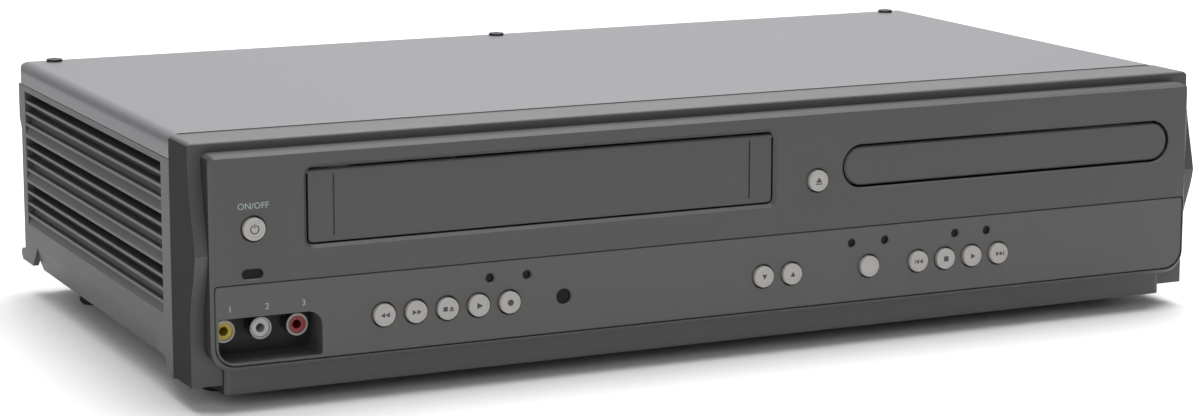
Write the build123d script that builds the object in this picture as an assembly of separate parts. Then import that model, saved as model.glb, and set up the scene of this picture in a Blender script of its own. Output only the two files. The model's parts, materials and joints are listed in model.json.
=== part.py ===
from build123d import *
import math
import os

# A disc player and tape recorder in one low cabinet, built as it comes apart on a bench.
# Millimetres, +Z up. While it is drawn, y = 0 is the front of the bezel's frame and +Y runs to
# the rear. At the end every piece moves so that y = 0 is half way along the whole depth.

# --- Cabinet ---
cabinet_width = 435.0
cabinet_height = 99.5  # feet included
body_depth = 230.0  # frame front to the rear edge of the side panels
panel_proud = 9.0  # raised front panel, in front of the frame
rear_lug_proud = 6.5  # lower rear lugs, behind the side panels' rear edge
rear_lip_proud = 3.0  # cover and upper side panels, behind the same edge
foot_height = 6.0
foot_radius = 8.0
foot_inset_x = 22.0
foot_inset_y = 34.0
floor_wall = 2.0
floor_vent_xs = (-146.0, -134.0, -122.0, -110.0, -98.0, -86.0, 92.0, 104.0, 116.0, 128.0, 140.0)
floor_vent_y = 118.0
floor_vent_length = 44.0
floor_vent_width = 3.5
seam_gap = 0.3  # between pieces that meet edge to edge
press_gap = 0.05  # round a pin in its running bore

# --- Top cover, a folded steel sheet ---
cover_sheet = 1.0
cover_skirt = 9.2
cover_side_bend = 4.5
cover_rear_bend = 5.0
cover_screw_radius = 3.4
cover_screw_inset = 13.5  # from each side
cover_screw_from_rear = 5.6  # from the rear edge of the side panels
cover_screw_head = 1.2
cover_screw_shank = 1.5
cover_screw_length = 9.0

# --- Bezel ---
bezel_depth = 21.5
bezel_wall = 2.5
bezel_foot_z = 9.3  # lower edge of the frame's two legs
frame_top_edge = 1.5  # rounding of the upper front edge
frame_corner = 2.0  # rounding of the upper corners in front view
wave_top_z = 96.0  # the frame's front bulges forward between two heights
wave_peak_z = 59.0
wave_end_z = 31.0
wave_bulge = 6.9
panel_side_inset = 5.0
panel_top_z = 95.5
panel_lip_z = 16.0
panel_top_radius = 2.5
panel_low_radius = 9.0
panel_edge = 1.2
panel_rim = 1.1
plinth_half_width = 205.8
plinth_front_y = -2.3
plinth_corner = 3.0

# --- Lower control panel ---
control_half_width = 211.0  # the jacks, boards and left buttons keep their place on it
control_low_z = 18.0
control_top_z = 47.8
control_low_radius = 8.0
control_top_radius = 1.5
control_ledge = 1.6
control_ledge_depth = 1.5
control_edge = 0.4

# --- Front openings ---
door_left_x = -175.5
door_right_x = 16.6
door_low_z = 60.2
door_high_z = 88.7
door_corner = 2.5
door_gap = 0.8
door_sheet = 1.8
door_set_back = 1.2
opening_bevel = 1.2  # round the door's opening
door_line_inset = 9.7
door_line_width = 0.8
door_line_depth = 0.5
door_line_margin = 3.0  # from the opening's upper and lower edge
door_pin_radius = 0.8
door_pin_length = 2.0
slot_flange = 1.8
slot_flange_depth = 13.0
tray_centre_x = 125.3
tray_centre_z = 72.35
tray_slot_width = 155.6
tray_slot_height = 17.3
tray_front_gap = 0.9
tray_front_sheet = 3.0
tray_front_set_back = 0.5
tray_front_edge = 0.6
tray_slot_bevel = 0.5

# --- Buttons ---
button_radius = 4.2
button_gap = 0.5
button_proud = 1.6
button_edge = 0.6
button_rim = 1.1  # raised round the cap's shallow dish
button_dish = 0.15
button_hole_bevel = 0.3
button_travel = 0.6
button_row_z = 31.8
button_upper_z = 68.1
button_pitch = 12.58
tape_row_from_recess = 24.0
tracking_row_x = 12.1
source_x = 59.7
disc_row_x = 82.4
standby_x = -196.0
open_close_x = 35.9
button_ear = 1.0
button_ear_half = 5.6
button_ear_width = 3.0
button_stem = 2.4

# --- Indicators ---
led_row_z = 41.6
led_from_tape_row = (42.7, 57.8)
led_from_source = (-7.6, 7.6)
led_from_disc_row = (17.5, 32.5)
led_radius = 1.6
power_led_from_standby = -0.5
power_led_z = 51.5
power_led_width = 7.8
power_led_height = 3.4
sensor_from_tape_row = 73.0
sensor_radius = 2.9
lens_set_back = 1.4
lens_bevel = 0.5  # round the lamps' holes

# --- Front jacks ---
recess_inset = 1.1  # from the lower panel's left end
recess_width = 39.6
recess_low_z = 19.3
recess_top_z = 35.8
recess_corner = 5.5
recess_low_corner = 6.0
recess_back_y = 6.0
recess_wall = 1.2
jack_inset = 4.5  # first jack, from the recess's left wall
jack_pitch = 14.0
jack_z = 29.6
jack_radius = 4.15
jack_shell_wall = 0.8
jack_bore_radius = 1.7
jack_front_y = -1.5
jack_body_depth = 9.0
jack_seat = 4.0
jack_insert_set_back = 0.5

# --- Front circuit board ---
front_board_y = 3.0
board_sheet = 1.6
front_board_low_z = 20.5
front_board_high_z = 45.5
front_board_inset_left = 5.3  # from the recess
front_board_inset_right = 6.0  # from the lower panel's right end
wing_half_width = 8.0
wing_high_z = 75.0
switch_size = 6.0
switch_body = 2.2
switch_gap = 0.1  # left between a pressed stem and its switch
board_boss_radius = 2.5
board_boss_inset = 7.0  # of the outer bosses, from the board's ends
board_boss_middle_xs = (-28.0, 140.0)
board_boss_beside_lamp = (10.5, 6.0)
board_boss_below_button = 12.0

# --- Side panels ---
side_wall = 2.5
louvre_front_y = 32.0
louvre_rear_margin = 6.5  # from the side panel's rear edge
louvre_top_gap = 2.4  # rail between the seam and the first slot
louvre_rows = 3
louvre_row_height = 19.4
louvre_slot = 4.2
louvre_depth = 6.0
louvre_sheet = 1.6
fins_per_row = 3
fin_pitch = 4.85
fin_sheet = 1.2
band_low_z = 22.7
tuck_x = 4.0
tuck_low_z = 11.5
tuck_front_y = 42.0
side_front_low_z = 8.0
rear_step_z = 75.4
rear_step_low_z = 70.5
lug_top_z = 18.2
lug_low_z = 13.3
lug_front_from_rear = 20.0

# --- Rear panel and its connectors ---
rear_sheet = 2.0
rear_panel_from_rear = 1.0
lid_tab_half = 7.0  # tabs under the lid's rear screws
lid_tab_reach = 2.9  # in front of the screws
lid_tab_sheet = 1.2
rear_vent_first_x = 62.0
rear_vent_count = 18
rear_vent_pitch = 7.5
rear_vent_z = 68.0
rear_vent_height = 24.0
rear_vent_width = 3.0
rear_jack_length = 7.0
rear_jack_x0 = -160.0
rear_jack_columns = 6
rear_jack_rows = 2
rear_jack_pitch_x = 14.0
rear_jack_z0 = 32.0
rear_jack_pitch_z = 16.0
rear_jack_body_depth = 8.0
aerial_x = 128.0
aerial_pitch = 22.0
aerial_z = 34.0
aerial_radius = 4.7
aerial_hex = 6.5
aerial_hex_length = 2.0
aerial_body_depth = 14.0
aerial_body_half = 9.0
aerial_bore = 1.0
bushing_x = -190.0
bushing_z = 30.0
bushing_radius = 6.0
bushing_bore = 3.6
bushing_inner_length = 4.0
bushing_outer_length = 3.0
bushing_flange = 2.0
bushing_flange_sheet = 1.5

# --- Inside floor and boards ---
board_standoff = 6.0
standoff_radius = 3.0
main_board_x = (-176.0, 16.0)
main_board_y = (34.0, 206.0)
power_board_x = (64.0, 190.0)
power_board_y = (60.0, 172.0)
transformer_size = (30.0, 26.0, 20.0)
capacitor_radius = 9.0
capacitor_length = 18.0
capacitor_places = ((82.0, 76.0), (172.0, 76.0))
chip_places = ((-120.0, 60.0), (-60.0, 60.0), (-90.0, 190.0), (-20.0, 190.0))
chip_size = (28.0, 14.0, 1.6)

# --- Tape deck ---
deck_z = 30.0
deck_sheet = 1.6
deck_margin_x = 5.5  # deck plate outside the cassette holder, each side
deck_y = (26.0, 208.0)
bracket_sheet = 1.2
bracket_y = (32.0, 124.0)
bracket_height = 58.0
cassette_width = 188.0
cassette_height = 25.0
cassette_gap = 0.3
holder_sheet = 1.0
holder_front_y = 24.0
holder_lift = 26.0
holder_pin_radius = 2.0
holder_pin_gap = 0.15
holder_pin_ys = (40.0, 84.0)
holder_depth = 78.0
holder_flange = 14.0
carriage_sheet = 1.0
carriage_y = (30.0, 96.0)
carriage_low_z = 44.0
carriage_travel = 25.0
carriage_rail_drop = 3.6
carriage_rail_y = 58.0
carriage_rail_length = 40.0
carriage_rail_height = 3.0
reel_spacing = 92.0
reel_y = 84.0
reel_table_radius = 17.0
reel_table_height = 5.0
reel_hub_radius = 7.0
reel_hub_height = 13.0
reel_spline = 1.4
reel_pin_radius = 2.0
running_lift = 0.3
drum_y = 166.0
drum_radius = 31.0
drum_tilt = 5.0
drum_base_height = 17.0
drum_seat_radius = 22.0
drum_seat_height = 6.0
drum_upper_height = 14.0
drum_motor_radius = 17.0
drum_motor_height = 5.0
drum_shaft_radius = 3.0
drum_foot_half = 14.0
drum_foot_sheet = 1.5
capstan_x = -18.0
capstan_y = 135.0
capstan_radius = 1.5
capstan_top_z = 62.0
capstan_sleeve_radius = 5.0
capstan_sleeve_height = 1.5
capstan_sleeve_drop = 6.0
rotor_radius = 20.0
rotor_height = 6.0
pinch_pivot_x = 6.0
pinch_pivot_y = 150.0
pinch_roller_radius = 6.0
pinch_roller_height = 12.0
pinch_arm_sheet = 2.5
pinch_arm_z = 46.0
pinch_pin_radius = 2.0
pinch_swing = 12.0
pinch_nip_gap = 0.3
guide_start = (26.0, 112.0)  # sideways from the drum's middle, and y
guide_travel = 44.0
guide_heading = 19.0  # degrees away from straight back
guide_base = (12.0, 12.0, 4.0)
guide_roller_radius = 3.0
guide_roller_height = 17.0
guide_pin_radius = 1.0
guide_flange_radius = 3.8
head_block = (6.0, 7.0, 18.0)
sound_head_x = -27.0
sound_head_y = 151.0
erase_head_x = -136.0
erase_head_y = 146.0

# --- Disc loader ---
loader_wall = 2.5
loader_half_width = 75.8
loader_y = (12.0, 205.0)
loader_low_z = 44.0
loader_top_z = 79.0
loader_floor_z = 55.0
loader_floor = 2.5
loader_window_half = 40.0
loader_window_y = (46.0, 184.0)
loader_leg_radius = 4.0
loader_leg_y = (28.0, 196.0)
rail_width = 2.6
rail_height = 2.4
rail_tab_pitch = 22.0
rail_tab_length = 8.0
rail_tab_sheet = 2.0
tray_half_width = 72.3
tray_top_z = 76.5
tray_thickness = 7.5
tray_length = 190.0
tray_rail_gap = 0.3
disc_y = 72.0
disc_recess_radius = 61.0
disc_recess_depth = 2.0
small_disc_radius = 41.0
small_disc_depth = 1.2
hub_window_half = 26.0
hub_window_y = (52.0, 162.0)
tray_corner = 4.0
tray_rib = 3.0
tray_under_rim = 2.5
tray_pocket = 2.2
rack_from_y = 24.0
rack_x = -64.3  # rack pitch line, from the tray's middle
rack_back = 4.0
gear_y = 30.0
gear_module = 1.0
rack_pinion_teeth = 16
tray_gear_teeth = 28
motor_gear_teeth = 12
gear_width = 3.4
gear_gap = 0.4
gear_pin_radius = 2.0
tooth_height = 0.8  # addendum, as a share of the module
tooth_root = 1.1
tooth_backlash = 0.2
pressure_angle = 20.0
motor_direction = 0.0  # from the tray gear's axis to the motor's, in degrees
motor_radius = 10.0
motor_height = 12.0
motor_shaft_radius = 1.0

# --- Pickup unit, which swings down to free the tray ---
pivot_y = 170.0
pivot_z = 60.0
pivot_radius = 2.5
seat_lift = 0.6
turntable_radius = 15.0
turntable_height = 2.5
hub_radius = 7.4
hub_top_radius = 6.0
hub_height = 1.9
spindle_radius = 1.0
spindle_motor_radius = 12.5
spindle_motor_height = 7.0
frame_half_width = 37.0
frame_front_y = 52.0
frame_rear_y = 176.0
frame_sheet = 2.2
frame_z = 60.0
frame_window_x = (-26.0, 28.5)
frame_window_y = (84.0, 165.0)
rod_offset = 20.0
rod_radius = 1.5
rod_z = 65.5
rod_block = 5.0
pickup_half_width = 23.0
pickup_length = 30.0
pickup_height = 6.0
lens_first = 33.0  # lens from the spindle, at the disc's inner edge
lens_radius = 3.5
lens_top_z = 72.2
feed_module = 0.8
feed_teeth = 14
feed_gear_y = 124.5
feed_rack_y = (88.0, 129.5)
feed_width = 3.0
feed_z = 64.0
feed_rack_x = 25.0
feed_motor_radius = 6.0
feed_motor_height = 9.0
bridge_y = (54.0, 90.0)
bridge_sheet = 2.0
clamper_hole = 11.0
clamper_body_radius = 10.4
clamper_flange_radius = 14.0
clamper_flange = 2.2
clamper_low_z = 77.6

# --- Worked out from the above ---
half_width = cabinet_width / 2
recess_left_x = recess_inset - control_half_width
recess_right_x = recess_left_x + recess_width
jack_first_x = recess_left_x + jack_inset
tape_row_x = recess_right_x + tape_row_from_recess
front_board_left_x = recess_right_x + front_board_inset_left
front_board_right_x = control_half_width - front_board_inset_right
power_led_x = standby_x + power_led_from_standby
sensor_x = tape_row_x + sensor_from_tape_row
led_xs = ([tape_row_x + step for step in led_from_tape_row]
          + [source_x + step for step in led_from_source]
          + [disc_row_x + step for step in led_from_disc_row])
seam_z = cabinet_height - cover_skirt
floor_top = foot_height + floor_wall
rear_face = body_depth - rear_panel_from_rear
panel_front = -panel_proud
panel_back = panel_front + bezel_wall
panel_half_width = half_width - panel_side_inset
whole_rear = body_depth + rear_lug_proud
door_x = (door_left_x + door_right_x) / 2
button_front = panel_front - button_proud
mid_y = (button_front + whole_rear) / 2
switch_front = front_board_y - switch_body
stem_end = switch_front - button_travel - switch_gap
deck_top = deck_z + deck_sheet
cassette_z = door_low_z + cassette_gap
holder_half = cassette_width / 2 + cassette_gap
tray_low_z = tray_top_z - tray_thickness
gear_low_z = tray_low_z - gear_gap - 2 * gear_width
seat_z = tray_top_z - disc_recess_depth + seat_lift
loader_x = tray_centre_x


def block(x0, x1, y0, y1, z0, z1):
    centre = Pos((x0 + x1) / 2, (y0 + y1) / 2, (z0 + z1) / 2)
    return centre * Box(x1 - x0, y1 - y0, z1 - z0)


def post(x, y, z0, z1, radius):
    return Pos(x, y, (z0 + z1) / 2) * Cylinder(radius, z1 - z0)


def peg(x, z, y0, y1, radius):
    return Pos(x, (y0 + y1) / 2, z) * Rot(90, 0, 0) * Cylinder(radius, y1 - y0)


def cross_pin(y, z, x0, x1, radius):
    return Pos((x0 + x1) / 2, y, z) * Rot(0, 90, 0) * Cylinder(radius, x1 - x0)


def front_outline(sketch, y0, y1):
    # An outline drawn in front view, x to the right and z up, made solid from y0 back to y1.
    return extrude(Plane((0, y1, 0), x_dir=(1, 0, 0), z_dir=(0, -1, 0)) * sketch, y1 - y0)


def side_outline(sketch, x0, x1):
    # An outline drawn in side view, y to the right and z up, made solid from x0 to x1.
    return extrude(Plane((x0, 0, 0), x_dir=(0, 1, 0), z_dir=(1, 0, 0)) * sketch, x1 - x0)


def corners(u0, u1, v0, v1, radii):
    # A rectangle with a radius for each corner: lower left, lower right, upper right, upper left.
    face = Pos((u0 + u1) / 2, (v0 + v1) / 2) * Rectangle(u1 - u0, v1 - v0)
    places = ((u0, v0), (u1, v0), (u1, v1), (u0, v1))
    for (u, v), radius in zip(places, radii):
        if radius > 0:
            face = fillet(face.vertices().sort_by_distance((u, v, 0))[0], radius)
    return face


def stadium(u, v, length, height):
    return Pos(u, v) * SlotOverall(length, height)


def tooth_half_angle(teeth, module, radius):
    pitch = teeth * module / 2
    base = pitch * math.cos(math.radians(pressure_angle))
    involute = lambda angle: math.tan(angle) - angle
    at_radius = math.acos(min(1.0, base / radius))
    at_pitch = math.radians(pressure_angle)
    return (math.pi / 2 / teeth - tooth_backlash / 2 / pitch / 2
            + involute(at_pitch) - involute(at_radius))


def gear(teeth, module, phase, z0, z1):
    # phase is the direction of one tooth's middle, in degrees.
    pitch = teeth * module / 2
    base = pitch * math.cos(math.radians(pressure_angle))
    root = pitch - tooth_root * module
    tip = pitch + tooth_height * module
    flank = [(root, max(base, root)), (max(base, root), max(base, root)), (pitch, pitch), (tip, tip)]
    corners = []
    for tooth in range(teeth):
        middle = math.radians(phase) + 2 * math.pi * tooth / teeth
        rising = [(r, middle - tooth_half_angle(teeth, module, at)) for r, at in flank]
        falling = [(r, middle + tooth_half_angle(teeth, module, at)) for r, at in reversed(flank)]
        corners += [(r * math.cos(a), r * math.sin(a)) for r, a in rising + falling]
    face = make_face(Polyline(*corners, close=True))
    return Pos(0, 0, z0) * extrude(face, z1 - z0)


def rack(module, gap_y, y0, y1, back, z0, z1):
    # Teeth point to +X from the pitch line x = 0, with the middle of one gap at y = gap_y.
    pitch = math.pi * module
    slope = math.tan(math.radians(pressure_angle))
    tip = tooth_height * module
    root = -tooth_root * module
    half = pitch / 4 - tooth_backlash / 4
    corners = [(-back, y0), (root, y0)]
    first = math.ceil((y0 - gap_y) / pitch - 0.5)
    middle = gap_y + (first + 0.5) * pitch
    while middle + pitch / 2 < y1:
        if middle - pitch / 2 > y0:
            corners += [(root, middle - half + root * slope), (tip, middle - half + tip * slope),
                        (tip, middle + half - tip * slope), (root, middle + half - root * slope)]
        middle += pitch
    corners += [(root, y1), (-back, y1)]
    face = make_face(Polyline(*corners, close=True))
    return Pos(0, 0, z0) * extrude(face, z1 - z0)


def meshing_phase(teeth, phase, other_teeth, direction):
    # The phase of a gear that lies in that direction from another and meshes with it.
    share = (direction - phase) / (360 / teeth)
    return direction + 180 - (0.5 - share) * 360 / other_teeth


# --- Housing ---
def side_panel_outline():
    upper_rear = body_depth + rear_lip_proud
    lug_rear = whole_rear
    low_front = bezel_depth + seam_gap
    with BuildSketch() as sketch:
        with BuildLine():
            Polyline((low_front, seam_z - seam_gap), (low_front, side_front_low_z),
                     (low_front + 4, side_front_low_z))
            Spline((low_front + 4, side_front_low_z), (tuck_front_y - 9, tuck_low_z + 3.5),
                   tangents=((1, 0.25), (1, 0.25)))
            Polyline((tuck_front_y - 9, tuck_low_z + 3.5), (tuck_front_y, tuck_low_z + 3.5),
                     (tuck_front_y, band_low_z), (body_depth - lug_front_from_rear, band_low_z),
                     (body_depth - lug_front_from_rear + 8, lug_low_z), (lug_rear - 2, lug_low_z),
                     (lug_rear, lug_low_z + 2), (lug_rear, lug_top_z - 1.5), (lug_rear - 1.5, lug_top_z),
                     (body_depth, lug_top_z), (body_depth, rear_step_low_z),
                     (upper_rear, rear_step_z), (upper_rear, seam_z - seam_gap),
                     (low_front, seam_z - seam_gap))
        make_face()
    return sketch.sketch


def louvre_end_y():
    return body_depth - louvre_rear_margin


def louvre_top_z():
    return seam_z - seam_gap - louvre_top_gap


def left_side_panel():
    outer = -half_width
    inner = outer + side_wall
    deep = outer + louvre_depth
    y0 = louvre_front_y
    y1 = louvre_end_y()
    top = louvre_top_z()
    low = top - louvre_rows * louvre_row_height
    panel = side_outline(side_panel_outline(), outer, inner)
    panel -= block(outer - 1, inner + 1, y0, y1, low, top)
    # The wall below the louvres tucks inward to meet the floor.
    tuck = Polygon((outer, band_low_z), (outer + tuck_x, tuck_low_z),
                   (outer + tuck_x + side_wall, tuck_low_z), (inner, band_low_z), align=None)
    panel += front_outline(tuck, tuck_front_y - 0.1, body_depth - lug_front_from_rear + 6)
    for end in (y0 - louvre_sheet, y1):
        panel += block(outer, deep, end, end + louvre_sheet, low - louvre_sheet, top + louvre_sheet)
    for row in range(louvre_rows):
        slot_top = top - row * louvre_row_height
        lower_edge = slot_top - louvre_row_height
        blade = Polygon((deep, slot_top - louvre_slot), (outer, lower_edge + fin_sheet),
                        (outer, lower_edge), (outer + louvre_sheet, lower_edge),
                        (deep + louvre_sheet, slot_top - louvre_slot), align=None)
        panel += front_outline(blade, y0 - 0.1, y1 + 0.1)
        for fin in range(fins_per_row):
            fin_z = slot_top - (fin + 1) * fin_pitch
            reach = (slot_top - louvre_slot - fin_z) / (louvre_row_height - louvre_slot - fin_sheet)
            root = deep - max(0.0, reach) * louvre_depth + 0.4
            panel += block(outer + 0.15, root + 0.6, y0 - 0.1, y1 + 0.1, fin_z, fin_z + fin_sheet)
    return panel


def base_chassis():
    y0 = bezel_depth + seam_gap
    y1 = rear_face - rear_sheet
    inner = half_width - tuck_x - side_wall - seam_gap
    low = foot_height
    profile = Polygon((-inner, tuck_low_z), (-inner + 2, tuck_low_z - 1), (-plinth_half_width + 4, low),
                      (plinth_half_width - 4, low), (inner - 2, tuck_low_z - 1), (inner, tuck_low_z),
                      (inner, tuck_low_z + floor_wall), (inner - 3, tuck_low_z + floor_wall),
                      (plinth_half_width - 5, floor_top), (-plinth_half_width + 5, floor_top),
                      (-inner + 3, tuck_low_z + floor_wall), (-inner, tuck_low_z + floor_wall),
                      align=None)
    tub = front_outline(profile, y0, y1)
    for x in floor_vent_xs:
        vent = Pos(x, floor_vent_y) * Rot(0, 0, 90) * SlotOverall(floor_vent_length, floor_vent_width)
        tub -= Pos(0, 0, low - 1) * extrude(vent, floor_wall + 2)
    for x, y in board_standoffs():
        tub += post(x, y, floor_top - 0.5, floor_top + board_standoff, standoff_radius)
    for x, y in deck_posts():
        tub += post(x, y, floor_top - 0.5, deck_z, standoff_radius)
    for x in loader_legs_x():
        for y in loader_leg_y:
            tub += post(x, y, floor_top - 0.5, loader_low_z, loader_leg_radius)
    return tub


def board_standoffs():
    inset = 6.0
    spots = []
    for xs, ys in ((main_board_x, main_board_y), (power_board_x, power_board_y)):
        for x in (xs[0] + inset, xs[1] - inset):
            for y in (ys[0] + inset, ys[1] - inset):
                spots.append((x, y))
    return spots


def deck_edges():
    half = holder_half + holder_sheet + deck_margin_x
    return door_x - half, door_x + half


def deck_posts():
    left, right = deck_edges()
    inset = 2.5
    return [(x, y) for x in (left + inset - 3, right - inset + 3)
            for y in (deck_y[0] + inset, deck_y[1] - inset)]


def loader_legs_x():
    half = loader_half_width - loader_leg_radius
    return loader_x - half, loader_x + half


def feet():
    spots_x = half_width - foot_inset_x
    group = []
    for x in (-spots_x, spots_x):
        for y in (foot_inset_y, body_depth - foot_inset_y):
            foot = post(x, y, 0, foot_height, foot_radius)
            group.append(chamfer(foot.edges().group_by(Axis.Z)[0], 1.0))
    return Compound(group)


def cover_form(inset, y0, z0):
    # The lid without its hollow: rounded along both sides, along the rear and at the rear corners.
    x = half_width - inset
    y1 = body_depth + rear_lip_proud - inset
    top = cabinet_height - inset
    bend = cover_side_bend - inset
    rear_bend = cover_rear_bend - inset
    form = front_outline(corners(-x, x, z0, top, (0, 0, bend, bend)), y0, y1)
    form &= side_outline(corners(y0, y1, z0, top, (0, 0, rear_bend, 0)), -x, x)
    form &= Pos(0, 0, z0) * extrude(corners(-x, x, y0, y1, (0, 0, bend, bend)), top - z0)
    return form


def top_cover():
    y0 = bezel_depth + seam_gap
    cover = cover_form(0, y0, seam_z) - cover_form(cover_sheet, y0 - 1, seam_z - 1)
    for x in cover_screw_xs():
        cover -= post(x, cover_screw_y(), seam_z, cabinet_height + 1, cover_screw_shank + press_gap)
    return cover


def cover_screw_xs():
    edge = half_width - cover_screw_inset
    return -edge, 0.0, edge


def cover_screw_y():
    return body_depth - cover_screw_from_rear


def cover_screws():
    group = []
    for x in cover_screw_xs():
        head = post(x, cover_screw_y(), cabinet_height, cabinet_height + cover_screw_head,
                    cover_screw_radius)
        head = chamfer(head.edges().group_by(Axis.Z)[-1], 0.4)
        shank = post(x, cover_screw_y(), cabinet_height - cover_screw_length, cabinet_height + 0.1,
                     cover_screw_shank)
        group.append(head + shank)
    return Compound(group)


# --- Front ---
def bevel(sketch, width):
    # A slope round an opening of this outline, widest at the panel's front.
    spare = 0.1
    plane = Plane((0, panel_front + width, 0), x_dir=(1, 0, 0), z_dir=(0, -1, 0))
    return extrude(plane * sketch, width + spare, taper=-45)


def bevelled_hole(x, z, radius, width):
    spare = 0.1
    y0, y1 = panel_front - spare, panel_front + width
    cone = Cone(radius, radius + width + spare, y1 - y0)
    hole = peg(x, z, panel_front - 1, panel_back + 1, radius)
    return hole + Pos(x, (y0 + y1) / 2, z) * Rot(90, 0, 0) * cone


def wave_profile():
    # The frame in side view. Its front runs straight up, swells forward and returns.
    top = cabinet_height - seam_gap
    with BuildSketch() as sketch:
        with BuildLine():
            Line((bezel_depth, bezel_foot_z), (0, bezel_foot_z))
            Line((0, bezel_foot_z), (0, wave_end_z))
            Spline((0, wave_end_z), (-wave_bulge, wave_peak_z), tangents=((0, 1), (-0.12, 1)))
            Spline((-wave_bulge, wave_peak_z), (0, wave_top_z), tangents=((0.2, 1), (0, 1)))
            Line((0, wave_top_z), (0, top - frame_top_edge))
            RadiusArc((0, top - frame_top_edge), (frame_top_edge, top), frame_top_edge)
            Line((frame_top_edge, top), (bezel_depth, top))
            Line((bezel_depth, top), (bezel_depth, bezel_foot_z))
        make_face()
    return sketch.sketch


def front_bezel():
    top = cabinet_height - seam_gap
    inner_x = half_width - bezel_wall
    shell = side_outline(wave_profile(), -half_width, half_width)
    shell &= front_outline(corners(-half_width, half_width, 0, top, (0, 0, frame_corner,
                                                                     frame_corner)),
                           -wave_bulge - 1, bezel_depth + 1)
    # Between its legs the frame stops at the panel's lip, and the plinth stands behind it.
    shell -= block(-plinth_half_width, plinth_half_width, -wave_bulge, bezel_depth + 1,
                   bezel_foot_z - 1, panel_lip_z)
    low, high = panel_low_radius, panel_top_radius
    panel = front_outline(corners(-panel_half_width, panel_half_width, panel_lip_z, panel_top_z,
                                  (low, low, high, high)), panel_front, bezel_wall)
    shell += chamfer(panel.edges().group_by(Axis.Y)[0], panel_edge)
    plinth = block(-plinth_half_width, plinth_half_width, plinth_front_y, bezel_depth,
                   foot_height, panel_lip_z + 0.1)
    front_corners = plinth.edges().filter_by(Axis.Z).group_by(Axis.Y)[0]
    shell += fillet(front_corners, plinth_corner)
    # Hollow behind the panel, behind the frame and behind the plinth.
    rim = panel_half_width - panel_rim
    shell -= front_outline(corners(-rim, rim, panel_lip_z + panel_rim, panel_top_z - panel_rim,
                                   (low - panel_rim, low - panel_rim, high - panel_rim,
                                    high - panel_rim)), panel_back, bezel_wall + 1)
    shell -= block(-inner_x, inner_x, bezel_wall, bezel_depth + 1, panel_lip_z + panel_rim,
                   top - bezel_wall)
    shell -= block(-plinth_half_width + bezel_wall, plinth_half_width - bezel_wall,
                   plinth_front_y + bezel_wall, bezel_depth + 1, foot_height + bezel_wall,
                   panel_lip_z + panel_rim + 1)
    # Openings for the lower panel, the cassette door and the disc tray.
    gap = seam_gap
    shell -= front_outline(corners(-control_half_width - gap, control_half_width + gap,
                                   control_low_z - gap, control_top_z + gap,
                                   (control_low_radius, control_low_radius, control_top_radius,
                                    control_top_radius)), panel_front - 1, panel_back + 0.1)
    door_opening = corners(door_left_x, door_right_x, door_low_z, door_high_z, (door_corner,) * 4)
    shell -= front_outline(door_opening, panel_front - 1, panel_back + 0.1)
    shell -= bevel(door_opening, opening_bevel)
    tray_slot = stadium(tray_centre_x, tray_centre_z, tray_slot_width, tray_slot_height)
    shell -= front_outline(tray_slot, panel_front - 1, panel_back + 0.1)
    shell -= bevel(tray_slot, tray_slot_bevel)
    # Cheeks beside the door carry its pins, and a sill runs under it.
    pin_y, pin_z = door_axis()
    for x0, x1 in ((door_left_x - slot_flange, door_left_x),
                   (door_right_x, door_right_x + slot_flange)):
        shell += block(x0, x1, panel_back - 0.1, panel_back + slot_flange_depth,
                       door_low_z - slot_flange, door_high_z + slot_flange)
        shell -= cross_pin(pin_y, pin_z, x0 - door_corner, x1 + door_corner,
                           door_pin_radius + press_gap)
    shell += block(door_left_x - slot_flange, door_right_x + slot_flange, panel_back - 0.1,
                   panel_back + slot_flange_depth, door_low_z - slot_flange, door_low_z)
    # Holes for the two upper buttons and the standby lamp.
    for x in (standby_x, open_close_x):
        shell -= bevelled_hole(x, button_upper_z, button_radius + button_gap, button_hole_bevel)
    lamp_slot = stadium(power_led_x, power_led_z, power_led_width + 2 * press_gap,
                        power_led_height + 2 * press_gap)
    shell -= front_outline(lamp_slot, panel_front - 1, panel_back + 1)
    shell -= bevel(lamp_slot, lens_bevel)
    for x, z in board_bosses():
        if z > control_top_z:
            shell += peg(x, z, panel_back - 0.1, front_board_y, board_boss_radius)
    return shell


def door_axis():
    return panel_front + door_set_back + door_sheet / 2, door_high_z - door_gap - door_sheet / 2


def button_places():
    places = {"standby_button": (standby_x, button_upper_z),
              "open_close_button": (open_close_x, button_upper_z),
              "source_button": (source_x, button_row_z)}
    tape_row = ("rewind", "fast_forward", "tape_stop_eject", "tape_play", "record")
    tracking = ("tracking_down", "tracking_up")
    disc_row = ("disc_previous", "disc_stop", "disc_play", "disc_next")
    for first_x, row in ((tape_row_x, tape_row), (tracking_row_x, tracking), (disc_row_x, disc_row)):
        for step, name in enumerate(row):
            places[f"{name}_button"] = (first_x + step * button_pitch, button_row_z)
    return places


def button(x, z):
    cap = peg(x, z, button_front, panel_back + seam_gap, button_radius)
    cap = fillet(cap.edges().group_by(Axis.Y)[0], button_edge)
    cap -= peg(x, z, button_front - 1, button_front + button_dish, button_radius - button_rim)
    ear_front = panel_back + seam_gap
    cap += block(x - button_ear_half, x + button_ear_half, ear_front, ear_front + button_ear,
                 z - button_ear_width / 2, z + button_ear_width / 2)
    cap += block(x - button_stem / 2, x + button_stem / 2, ear_front, stem_end,
                 z - button_stem / 2, z + button_stem / 2)
    return cap


def board_bosses():
    outer = (front_board_left_x + board_boss_inset, front_board_right_x - board_boss_inset)
    row = [(x, (button_row_z + led_row_z) / 2) for x in (*outer, *board_boss_middle_xs)]
    beside_x, above_z = board_boss_beside_lamp
    return row + [(power_led_x + beside_x, power_led_z + above_z),
                  (open_close_x, button_upper_z - board_boss_below_button)]


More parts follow.
